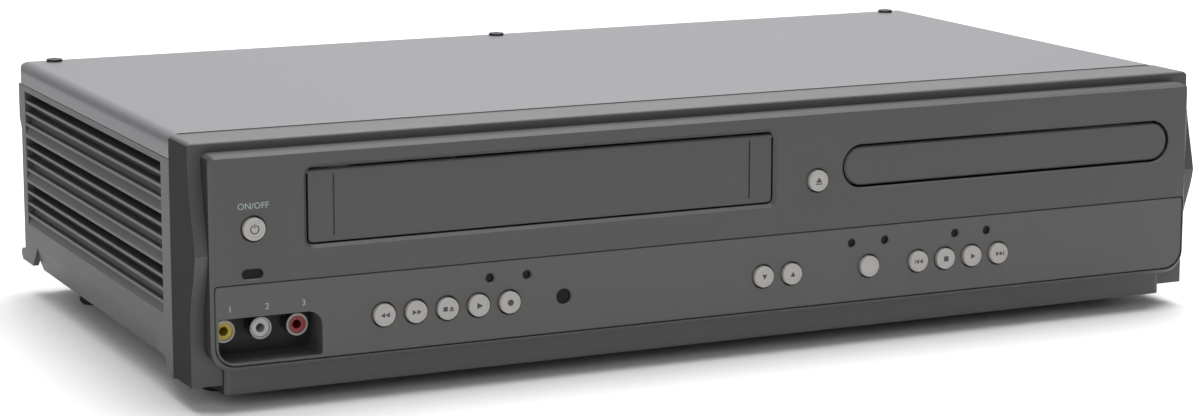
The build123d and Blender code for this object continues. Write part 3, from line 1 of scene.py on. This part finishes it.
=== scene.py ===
import bpy
import bmesh
import json
import math
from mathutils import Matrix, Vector


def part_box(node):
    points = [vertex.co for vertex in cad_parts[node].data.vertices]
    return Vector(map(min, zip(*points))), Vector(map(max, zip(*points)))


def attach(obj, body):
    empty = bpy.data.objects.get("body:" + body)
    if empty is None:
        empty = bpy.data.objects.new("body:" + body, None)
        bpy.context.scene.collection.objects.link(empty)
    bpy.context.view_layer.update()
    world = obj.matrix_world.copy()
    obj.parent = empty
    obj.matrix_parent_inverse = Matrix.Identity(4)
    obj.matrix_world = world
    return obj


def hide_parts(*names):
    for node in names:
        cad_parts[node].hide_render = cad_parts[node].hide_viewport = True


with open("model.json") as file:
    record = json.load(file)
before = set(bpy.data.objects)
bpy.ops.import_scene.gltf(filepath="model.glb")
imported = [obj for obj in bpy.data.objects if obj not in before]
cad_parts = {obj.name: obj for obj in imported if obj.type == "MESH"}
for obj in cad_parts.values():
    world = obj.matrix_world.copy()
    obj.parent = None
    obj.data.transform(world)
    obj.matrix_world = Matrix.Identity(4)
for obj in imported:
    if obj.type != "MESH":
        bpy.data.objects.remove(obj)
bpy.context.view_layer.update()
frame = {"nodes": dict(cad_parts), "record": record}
bpy.ops.object.select_all(action="DESELECT")
nodes = frame["nodes"]
mm = 0.001
plain = (1, 1, 1)


def middle(name):  # of a CAD node's box
    low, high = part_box(name)
    return (low + high) / 2


class Flow:  # one socket, so that shader maths can be written as a sum
    def __init__(self, shader, socket):
        self.shader, self.socket = shader, socket

    def __add__(self, other):
        return self.shader.maths("ADD", self, other)

    def __radd__(self, other):
        return self.shader.maths("ADD", other, self)

    def __sub__(self, other):
        return self.shader.maths("SUBTRACT", self, other)

    def __rsub__(self, other):
        return self.shader.maths("SUBTRACT", other, self)

    def __mul__(self, other):
        return self.shader.maths("MULTIPLY", self, other)

    def __rmul__(self, other):
        return self.shader.maths("MULTIPLY", other, self)

    def __gt__(self, other):
        return self.shader.maths("GREATER_THAN", self, other)

    def __lt__(self, other):
        return self.shader.maths("LESS_THAN", self, other)


class Shader:  # a new material and its tree
    def __init__(self, name):
        self.material = bpy.data.materials.new(name)
        self.material.use_nodes = True
        self.tree = self.material.node_tree
        self.surface = self.tree.nodes["Principled BSDF"]

    def add(self, kind, settings, values, output=0):
        made = self.tree.nodes.new(kind)
        for key, value in settings.items():
            setattr(made, key, value)
        for key, value in values.items():
            self.feed(made.inputs[key], value)
        return Flow(self, made.outputs[output])

    def feed(self, socket, value):
        if isinstance(value, Flow):
            self.tree.links.new(value.socket, socket)
        else:
            socket.default_value = value

    def set(self, **values):
        for key, value in values.items():
            self.feed(self.surface.inputs[key.replace("_", " ")], value)

    def maths(self, operation, first, second=0.0):
        return self.add("ShaderNodeMath", {"operation": operation}, {0: first, 1: second})

    def place(self, output="Object"):
        return self.add("ShaderNodeTexCoord", {}, {}, output)

    def part(self, vector, axis):
        return self.add("ShaderNodeSeparateXYZ", {}, {0: vector}, axis)

    def stretch(self, vector, scale):
        return self.add("ShaderNodeMapping", {}, {"Vector": vector, "Scale": scale})

    def noise(self, where, scale, detail=2.0, roughness=0.5):
        return self.add("ShaderNodeTexNoise", {}, {"Vector": where, "Scale": scale, "Detail": detail,
                                                   "Roughness": roughness}, "Fac")

    def cells(self, where, scale):
        return self.add("ShaderNodeTexVoronoi", {}, {"Vector": where, "Scale": scale}, "Distance")

    def blend(self, share, first, second):
        return self.add("ShaderNodeMix", {"data_type": "RGBA"}, {0: share, 6: first, 7: second}, 2)

    def bump(self, height, distance, strength=1.0):
        return self.add("ShaderNodeBump", {}, {"Height": height, "Distance": distance,
                                               "Strength": strength})


def tone(level, tint=plain):
    return (level * tint[0], level * tint[1], level * tint[2], 1)


def spread(shader, share, level, look):  # from a little darker than the level to a little lighter
    swing = look["swing"]
    return shader.blend(share, tone(level * (1 - swing), look["tint"]),
                        tone(level * (1 + swing), look["tint"]))


def mixed(first, second, shares):  # two patterns added, each by its share
    return first * shares[0] + second * shares[1]


def mouldedPlastic(name, look):  # satin moulding with a fine spark-eroded grain
    shader = Shader(name)
    where = shader.place()
    cloud = shader.noise(where, look["cloudScale"], detail=3)
    grain = shader.noise(where, look["grainScale"], detail=2, roughness=0.6)
    colour = spread(shader, mixed(cloud, grain, look["toneShares"]), look["tone"], look)
    roughness = look["rough"] - sum(look["roughShares"]) / 2 + mixed(cloud, grain, look["roughShares"])
    if "endTone" in look:  # the two ends of the moulding are darker and coarser
        sideways = shader.maths("ABSOLUTE", shader.part(shader.place("Normal"), "X"))
        atEnd = sideways > look["endTurn"]
        colour = shader.blend(atEnd, colour, spread(shader, grain, look["endTone"], look))
        roughness = roughness + atEnd * look["endRough"]
    shader.set(Base_Color=colour, Roughness=roughness, Specular_IOR_Level=look["specular"])
    shader.set(Normal=shader.bump(grain, look["grainDepth"], look["grainStrength"]))
    return shader.material


def sheetPaint(name, look):  # baked enamel on sheet steel: orange peel, fine speckle, soft clouding
    shader = Shader(name)
    where = shader.place()
    peel = shader.noise(where, look["peelScale"], detail=2)
    speck = shader.noise(where, look["speckScale"], detail=1)
    cloud = shader.noise(where, look["cloudScale"], detail=3)
    shader.set(Base_Color=spread(shader, mixed(speck, cloud, look["toneShares"]), look["tone"], look))
    shader.set(Roughness=look["rough"] + mixed(peel, cloud, look["roughShares"]), Metallic=look["metal"])
    shader.set(Normal=shader.bump(peel, look["peelDepth"], look["peelStrength"]))
    return shader.material


def brushedMetal(name, look):  # plated or machined metal, with fine lines along one direction
    shader = Shader(name)
    where = shader.place()
    streak = shader.noise(shader.stretch(where, look["lines"]), look["lineScale"], detail=3, roughness=0.7)
    cloud = shader.noise(where, look["cloudScale"], detail=3)
    shader.set(Base_Color=spread(shader, mixed(streak, cloud, look["toneShares"]), look["tone"], look))
    shader.set(Roughness=look["rough"] + mixed(streak, cloud, look["roughShares"]), Metallic=1.0)
    shader.set(Normal=shader.bump(streak, look["lineDepth"], look["lineStrength"]))
    return shader.material


def phonoColours(name, look):  # yellow, white and red insulators by their place along the front
    shader = Shader(name)
    where = shader.place()
    across = shader.part(where, "X")
    cloud = shader.noise(where, look["cloudScale"], detail=2)
    leftPair = shader.blend(across > look["edges"][0], look["yellow"], look["white"])
    colour = shader.blend(across > look["edges"][1], leftPair, look["red"])
    shader.set(Base_Color=shader.blend(cloud * look["soil"], colour, tone(look["soilTone"])))
    shader.set(Roughness=look["rough"] + cloud * look["roughSwing"])
    return shader.material


def circuitBoard(name, look):  # green resist over faint copper runs; what stands on the floor boards is black
    shader = Shader(name)
    where = shader.place()
    runs = shader.cells(shader.stretch(where, look["runStretch"]), look["runScale"])
    copper = runs < look["runWidth"]
    upward = shader.part(shader.place("Normal"), "Z")
    upright = shader.part(where, "Y") < look["frontBoardRear"]
    high = (1 - upright) * (shader.part(where, "Z") > look["topOfBoard"])
    resist = shader.blend(copper, look["resist"], look["copper"])
    partTones = [tone(level) for level in look["partTones"]]
    parts = shader.blend(shader.noise(where, look["partScale"], detail=2), *partTones)
    shader.set(Base_Color=shader.blend(high, resist, parts))
    shader.set(Roughness=look["rough"] + runs * look["roughSwing"])
    shader.set(Normal=shader.bump(copper * upward, look["copperHigh"], look["copperStrength"]))
    return shader.material


mould = {"tint": plain, "cloudScale": 40, "swing": 0.15, "grainScale": 3000, "grainDepth": 0.02 * mm,
         "grainStrength": 0.4, "specular": 0.4, "toneShares": (0.6, 0.4), "roughShares": (0.1, 0.06)}
frontMould = {**mould, "tint": (1, 0.995, 0.985), "cloudScale": 22, "swing": 0.09, "grainScale": 3800,
              "grainStrength": 0.35}
rubber = {**mould, "swing": 0.2, "grainScale": 2500, "grainDepth": 0.04 * mm, "grainStrength": 0.6,
          "specular": 0.3}
plastics = {
    "bezel_plastic": {**frontMould, "tone": 0.06, "rough": 0.43, "specular": 0.5, "endTurn": 0.9,
                      "endTone": 0.009, "endRough": 0.5},
    "control_plastic": {**frontMould, "tone": 0.078, "rough": 0.45, "specular": 0.45},
    "side_plastic": {**mould, "tone": 0.072, "tint": (0.97, 0.99, 1.03), "rough": 0.55, "cloudScale": 26,
                     "swing": 0.12, "grainDepth": 0.03 * mm, "grainStrength": 0.5, "specular": 0.5},
    "button_silver": {**mould, "tone": 0.37, "tint": (1, 0.955, 0.905), "rough": 0.36, "cloudScale": 90,
                      "swing": 0.05, "grainScale": 6000, "grainDepth": 0.01 * mm, "grainStrength": 0.25,
                      "specular": 0.6},
    "lens_smoke": {**mould, "tone": 0.003, "tint": (1, 0.75, 0.8), "rough": 0.2, "cloudScale": 60,
                   "swing": 0.1, "grainScale": 6000, "grainDepth": 0.01 * mm, "grainStrength": 0.1,
                   "specular": 0.15},
    "jack_black": {**mould, "tone": 0.014, "rough": 0.5},
    "foot_rubber": {**rubber, "tone": 0.018, "rough": 0.8},
    "roller_rubber": {**rubber, "tone": 0.02, "rough": 0.85},
    "black_mould": {**mould, "tone": 0.02, "rough": 0.48, "specular": 0.45},
    "white_acetal": {**mould, "tone": 0.72, "tint": (1, 0.99, 0.95), "rough": 0.42, "swing": 0.05,
                     "grainScale": 4000, "grainDepth": 0.01 * mm, "grainStrength": 0.2, "specular": 0.5},
}
enamel = {"tint": plain, "metal": 0.0, "cloudScale": 12, "swing": 0.15, "peelScale": 1500,
          "speckScale": 2400, "peelDepth": 0.03 * mm, "peelStrength": 0.6, "toneShares": (0.7, 0.3),
          "roughShares": (0.08, 0.06)}
paints = {
    "cover_paint": {**enamel, "tone": 0.15, "tint": (0.98, 0.98, 1.05), "rough": 0.4, "metal": 0.2,
                    "cloudScale": 7, "swing": 0.13},
    "chassis_steel": {**enamel, "tone": 0.06, "tint": (1, 1, 0.98), "rough": 0.5},
    "rear_paint": {**enamel, "tone": 0.032, "rough": 0.55, "swing": 0.2, "peelDepth": 0.04 * mm},
}
plate = {"tint": plain, "swing": 0.14, "cloudScale": 60, "lineScale": 40, "lineDepth": 0.01 * mm,
         "lineStrength": 0.4, "toneShares": (0.6, 0.4), "roughShares": (0.1, 0.08)}
metals = {
    "screw_steel": {**plate, "tone": 0.06, "tint": (1, 1, 1.02), "rough": 0.3, "lines": (20, 20, 1),
                    "cloudScale": 200},
    "jack_metal": {**plate, "tone": 0.2, "tint": (1, 0.98, 0.93), "rough": 0.24, "lines": (1, 30, 1),
                   "cloudScale": 120},
    "zinc_sheet": {**plate, "tone": 0.4, "tint": (0.98, 1, 1.02), "rough": 0.42, "lines": (1, 20, 20),
                   "cloudScale": 30},
    "machined_aluminium": {**plate, "tone": 0.58, "rough": 0.28, "lines": (1, 1, 60)},
    "bright_steel": {**plate, "tone": 0.55, "rough": 0.24, "lines": (1, 1, 40)},
    "motor_can": {**plate, "tone": 0.42, "tint": (1, 1, 0.98), "rough": 0.34, "lines": (1, 1, 30)},
}
jackPitch = 14 * mm
jack = middle("jack_inserts")
phonoLook = {"edges": (jack.x - jackPitch / 2, jack.x + jackPitch / 2), "yellow": (0.50, 0.37, 0.02, 1),
             "white": tone(0.50), "red": (0.26, 0.012, 0.014, 1), "cloudScale": 300, "soil": 0.2,
             "soilTone": 0.02, "rough": 0.28, "roughSwing": 0.12}
boardLook = {"runScale": 180, "runWidth": 0.18, "runStretch": (1, 2.2, 1), "topOfBoard": 15.8 * mm,
             "frontBoardRear": -90 * mm, "resist": (0.01, 0.07, 0.025, 1), "copper": (0.02, 0.13, 0.04, 1),
             "copperHigh": 0.03 * mm, "copperStrength": 0.4, "partScale": 900, "partTones": (0.012, 0.03),
             "rough": 0.38, "roughSwing": 0.1}
finishes = {"jack_colours": phonoColours("jack_colours", phonoLook),
            "board_laminate": circuitBoard("board_laminate", boardLook)}
for makeFinish, looks in ((mouldedPlastic, plastics), (sheetPaint, paints), (brushedMetal, metals)):
    finishes.update({name: makeFinish(name, look) for name, look in looks.items()})
for subpart in frame["record"]["subparts"]:
    node = nodes[subpart["node"]]
    node.data.materials.clear()
    node.data.materials.append(finishes[subpart["material_slot"]])
print("finishes done")


def alone(piece):
    bpy.ops.object.select_all(action="DESELECT")
    piece.select_set(True)
    bpy.context.view_layer.objects.active = piece


def newest(name):  # the object just added, its place and turn moved into its mesh
    piece = bpy.context.object
    piece.name = name
    alone(piece)
    bpy.ops.object.transform_apply(location=True, rotation=True, scale=True)
    return piece


def joined(strokes, name):
    bpy.ops.object.select_all(action="DESELECT")
    for stroke in strokes:
        stroke.select_set(True)
    bpy.context.view_layer.objects.active = strokes[0]
    if len(strokes) > 1:
        bpy.ops.object.join()
    piece = bpy.context.object
    piece.name = name
    piece.data.name = name
    return piece


def softened(piece, width):  # a small bevel on every sharp edge
    alone(piece)
    edge = piece.modifiers.new("edge", "BEVEL")
    edge.width, edge.segments, edge.limit_method = width, 2, "ANGLE"
    bpy.ops.object.modifier_apply(modifier="edge")


def finished(piece, material, body):
    piece.data.materials.clear()
    piece.data.materials.append(material)
    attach(piece, body)


# The signs on the caps are thin pads of ink that lie in the caps' dishes.
ink = {"thick": 0.09 * mm, "edge": 0.015 * mm, "dish": 0.15 * mm, "sunk": 0.02 * mm, "unit": 1.3 * mm,
       "dotSides": 20, "ringSides": 36, "dark": (0.035, 0.037, 0.055, 1), "pale": (0.36, 0.42, 0.38, 1),
       "cloudScale": 900, "wear": 0.25, "wornTone": 0.08, "rough": 0.42, "roughSwing": 0.15}


def inkBar(x, y, z, wide, high):
    bpy.ops.mesh.primitive_cube_add(size=1, location=(x, y, z), scale=(wide, ink["thick"], high))
    return newest("bar")


def inkDot(x, y, z, radius):
    bpy.ops.mesh.primitive_cylinder_add(vertices=ink["dotSides"], radius=radius, depth=ink["thick"],
                                        location=(x, y, z), rotation=(math.pi / 2, 0, 0))
    return newest("dot")


def inkArrow(x, y, z, turn, reach, high):  # its tip turned from upright
    # Three corners round a circle of 2/3 make a triangle 1 high, which is then centred.
    bpy.ops.mesh.primitive_cylinder_add(vertices=3, radius=2 / 3, depth=ink["thick"],
                                        location=(0, 0, 0), rotation=(math.pi / 2, 0, 0))
    piece = newest("arrow")
    bpy.ops.object.mode_set(mode="EDIT")
    bpy.ops.mesh.select_all(action="SELECT")
    bpy.ops.transform.translate(value=(0, 0, -1 / 6))
    bpy.ops.transform.resize(value=(high / (2 / 3 * math.sqrt(3)), 1, reach), center_override=(0, 0, 0))
    bpy.ops.object.mode_set(mode="OBJECT")
    piece.rotation_euler = (0, turn, 0)
    piece.location = (x, y, z)
    bpy.ops.object.transform_apply(location=True, rotation=True, scale=True)
    return piece


def inkRing(x, y, z, radius, thick, gap):  # a ring left open at the top
    inner = 1 - thick / radius
    bpy.ops.mesh.primitive_circle_add(vertices=ink["ringSides"], radius=radius,
                                      location=(x, y + ink["thick"] / 2, z), rotation=(math.pi / 2, 0, 0))
    piece = newest("ring")
    bpy.ops.object.mode_set(mode="EDIT")
    mesh = bmesh.from_edit_mesh(piece.data)
    for corner in mesh.verts:
        corner.select = abs(corner.co.x - x) < gap and corner.co.z > z
    mesh.select_flush_mode()
    bmesh.update_edit_mesh(piece.data)
    bpy.ops.mesh.delete(type="VERT")
    bpy.ops.mesh.select_all(action="SELECT")
    bpy.ops.mesh.extrude_edges_move()
    bpy.ops.transform.resize(value=(inner, 1, inner), center_override=(x, y, z))
    bpy.ops.mesh.select_all(action="SELECT")
    bpy.ops.mesh.extrude_region_move(TRANSFORM_OT_translate={"value": (0, -ink["thick"], 0)})
    bpy.ops.mesh.select_all(action="SELECT")
    bpy.ops.mesh.normals_make_consistent(inside=False)
    bpy.ops.object.mode_set(mode="OBJECT")
    return piece


def printInk(name, colour):
    shader = Shader(name)
    cloud = shader.noise(shader.place(), ink["cloudScale"], detail=2)
    shader.set(Base_Color=shader.blend(cloud * ink["wear"], colour, tone(ink["wornTone"])))
    shader.set(Roughness=ink["rough"] + cloud * ink["roughSwing"])
    return shader.material


darkInk = printInk("dark_ink", ink["dark"])
paleInk = printInk("pale_ink", ink["pale"])
up, right, down, left = 0, math.pi / 2, math.pi, -math.pi / 2
shapes = {"bar": inkBar, "dot": inkDot, "ring": inkRing}
symbols = {  # shape, sideways and up from the cap's middle, then its sizes, all in the ink's unit
    "rewind": [(left, -0.72, 0, 1.3, 1.5), (left, 0.72, 0, 1.3, 1.5)],
    "fast_forward": [(right, -0.72, 0, 1.3, 1.5), (right, 0.72, 0, 1.3, 1.5)],
    "tape_stop_eject": [("bar", -0.95, 0, 1.3, 1.3), (up, 0.95, 0.25, 0.95, 1.35),
                        ("bar", 0.95, -0.57, 1.35, 0.28)],
    "tape_play": [(right, 0.1, 0, 1.8, 1.9)],
    "record": [("dot", 0, 0, 0.95)],
    "tracking_down": [(down, 0, -0.05, 1.55, 1.7)],
    "tracking_up": [(up, 0, 0.05, 1.55, 1.7)],
    "disc_previous": [("bar", -1.55, 0, 0.26, 1.45), (left, -0.72, 0, 1.2, 1.45), (left, 0.6, 0, 1.2, 1.45)],
    "disc_stop": [("bar", 0, 0, 1.6, 1.6)],
    "disc_play": [(right, 0.1, 0, 1.6, 1.7)],
    "disc_next": [(right, -0.6, 0, 1.2, 1.45), (right, 0.72, 0, 1.2, 1.45), ("bar", 1.55, 0, 0.26, 1.45)],
    "open_close": [(up, 0, 0.3, 1.5, 2.1), ("bar", 0, -0.95, 2.1, 0.32)],
    "standby": [("ring", 0, 0, 1.35, 0.32, 0.385), ("bar", 0, 0.95, 0.3, 1.25)],
}
for name, strokeList in symbols.items():
    cap = middle(name + "_button")
    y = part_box(name + "_button")[0].y + ink["dish"] + ink["sunk"] - ink["thick"] / 2
    strokes = []
    for kind, aside, above, *sizes in strokeList:
        x = cap.x + aside * ink["unit"]
        z = cap.z + above * ink["unit"]
        sizes = [size * ink["unit"] for size in sizes]
        strokes.append(shapes[kind](x, y, z, *sizes) if kind in shapes else inkArrow(x, y, z, kind, *sizes))
    legend = joined(strokes, name + "_symbol")
    softened(legend, ink["edge"])
    finished(legend, darkInk, name + "_button")
print("symbols done")

# Plain figures in the places for lettering: one above each jack, and one above the standby button.
figures = {"size": 3.3 * mm, "lift": 0.05 * mm, "curveSteps": 3, "aboveJack": 9.6 * mm,
           "aboveStandby": 8.3 * mm}
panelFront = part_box("control_panel")[0].y
standby = middle("standby_button")
overJack = jack.z + figures["aboveJack"]
places = [("1", jack.x - jackPitch, overJack), ("2", jack.x, overJack), ("3", jack.x + jackPitch, overJack),
          ("ON/OFF", standby.x, standby.z + figures["aboveStandby"])]
for text, x, z in places:
    bpy.ops.object.text_add(location=(x, panelFront - figures["lift"] / 2, z), rotation=(math.pi / 2, 0, 0))
    words = bpy.context.object
    words.data.body = text
    words.data.size = figures["size"]
    words.data.align_x, words.data.align_y = "CENTER", "CENTER"
    words.data.extrude = figures["lift"]
    words.data.resolution_u = figures["curveSteps"]
    alone(words)
    bpy.ops.object.convert(target="MESH")
    finished(newest("figure_" + text.lower().replace("/", "_")), paleInk, "cabinet")
print("figures done")

screwLook = {"nodeRadius": 3.4 * mm, "headRadius": 3.35 * mm, "headHigh": 1.2 * mm, "crown": 0.45 * mm,
             "shankRadius": 1.45 * mm, "shankLong": 8.6 * mm, "shankIn": 0.1 * mm, "shankEdge": 0.3 * mm,
             "crossLong": 3.0 * mm, "crossWide": 0.75 * mm, "crossDeep": 0.7 * mm, "headSides": 40,
             "crownSteps": 4, "shankSides": 24, "turnStep": 0.5, "smoothUnder": 0.5}


def lidScrew(look):  # a crowned head with a cross recess, on a plain shank, at the origin
    top = look["headHigh"]
    bpy.ops.mesh.primitive_cylinder_add(vertices=look["headSides"], radius=look["headRadius"], depth=top,
                                        location=(0, 0, top / 2))
    head = newest("head")
    bpy.ops.object.mode_set(mode="EDIT")
    bpy.ops.mesh.select_all(action="DESELECT")
    bpy.ops.mesh.select_mode(type="FACE")
    mesh = bmesh.from_edit_mesh(head.data)
    for face in mesh.faces:  # the top one
        face.select = face.normal.z > 0.9
    bmesh.update_edit_mesh(head.data)
    bpy.ops.mesh.bevel(offset=look["crown"], segments=look["crownSteps"], profile=0.5, affect="EDGES")
    bpy.ops.object.mode_set(mode="OBJECT")
    for turn in (0, math.pi / 2):
        bpy.ops.mesh.primitive_cube_add(size=1, location=(0, 0, top), rotation=(0, 0, turn),
                                        scale=(look["crossLong"], look["crossWide"], look["crossDeep"] * 2))
        slot = newest("slot")
        cut = head.modifiers.new("cross", "BOOLEAN")
        cut.operation, cut.object, cut.solver = "DIFFERENCE", slot, "EXACT"
        alone(head)
        bpy.ops.object.modifier_apply(modifier="cross")
        alone(slot)
        bpy.ops.object.delete()
    bpy.ops.mesh.primitive_cylinder_add(vertices=look["shankSides"], radius=look["shankRadius"],
                                        depth=look["shankLong"],
                                        location=(0, 0, look["shankIn"] - look["shankLong"] / 2))
    shank = newest("shank")
    softened(shank, look["shankEdge"])
    return joined([head, shank], "lid_screw")


low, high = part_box("cover_screws")
screwXs = [low.x + screwLook["nodeRadius"], 0, high.x - screwLook["nodeRadius"]]
pattern = lidScrew(screwLook)
for number, x in enumerate(screwXs, 1):
    screw = pattern if number == len(screwXs) else pattern.copy()
    if screw is not pattern:
        screw.data = pattern.data.copy()
        bpy.context.collection.objects.link(screw)
    screw.name = f"lid_screw_{number}"
    screw.location = (x, middle("cover_screws").y, high.z - screwLook["headHigh"])
    screw.rotation_euler = (0, 0, screwLook["turnStep"] * number)
    alone(screw)
    bpy.ops.object.transform_apply(location=True, rotation=True, scale=True)
    bpy.ops.object.shade_smooth_by_angle(angle=screwLook["smoothUnder"])
    finished(screw, finishes["screw_steel"], "cabinet")
    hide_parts("cover_screws")
print("lid screws done")

studio = {
    "floorSize": 8.0, "floorTones": (0.86, 0.9), "floorScale": 4, "floorRough": 0.8,
    "air": (0.96, 0.97, 1.0, 1), "airStrength": 0.2, "aim": (0, 0, 0.05),
    "softboxes": {
        "overhead": {"from": (0.3, 0.2, 1.9), "size": 2.2, "power": 72},
        "backdrop": {"from": (0.8, 2.6, 1.3), "size": 3.4, "power": 36},
        "front": {"from": (-1.0, -2.2, 1.15), "size": 1.3, "power": 13},
        "left": {"from": (-2.0, -0.3, 0.8), "size": 0.9, "power": 5},
    },
}
bpy.ops.mesh.primitive_plane_add(size=studio["floorSize"], location=(0, 0, 0))
floor = bpy.context.object
floor.name = "floor"
paper = Shader("floor_paper")
floorTones = [tone(level) for level in studio["floorTones"]]
clouds = paper.noise(paper.place(), studio["floorScale"], detail=2)
paper.set(Base_Color=paper.blend(clouds, *floorTones), Roughness=studio["floorRough"])
floor.data.materials.append(paper.material)

world = bpy.data.worlds.new("studio")
bpy.context.scene.world = world
world.use_nodes = True
world.node_tree.nodes["Background"].inputs["Color"].default_value = studio["air"]
world.node_tree.nodes["Background"].inputs["Strength"].default_value = studio["airStrength"]

for name, box in studio["softboxes"].items():
    lamp = bpy.data.lights.new(name, "AREA")
    lamp.size, lamp.energy = box["size"], box["power"]
    holder = bpy.data.objects.new(name, lamp)
    holder.location = box["from"]
    towards = Vector(studio["aim"]) - Vector(box["from"])
    holder.rotation_euler = towards.to_track_quat("-Z", "Y").to_euler()
    bpy.context.collection.objects.link(holder)

view = {"place": (-0.54273, -1.14499, 0.27986), "tilt": -0.16939, "turn": -0.45229, "roll": -0.00298,
        "focalPixels": 3041.01, "middleX": 631.88, "middleY": 151.87, "wide": 1200, "high": 416,
        "sensor": 36, "near": 0.01}
camera = bpy.data.objects.new("camera", bpy.data.cameras.new("camera"))
bpy.context.collection.objects.link(camera)
camera.location = view["place"]
camera.rotation_euler = (math.pi / 2 + view["tilt"], view["roll"], view["turn"])
camera.data.sensor_width = view["sensor"]
camera.data.lens = view["sensor"] * view["focalPixels"] / view["wide"]
camera.data.shift_x = (view["wide"] / 2 - view["middleX"]) / view["wide"]
camera.data.shift_y = (view["middleY"] - view["high"] / 2) / view["wide"]
camera.data.clip_start = view["near"]
bpy.context.scene.camera = camera
bpy.context.scene.view_settings.view_transform = "Standard"
print("studio done")
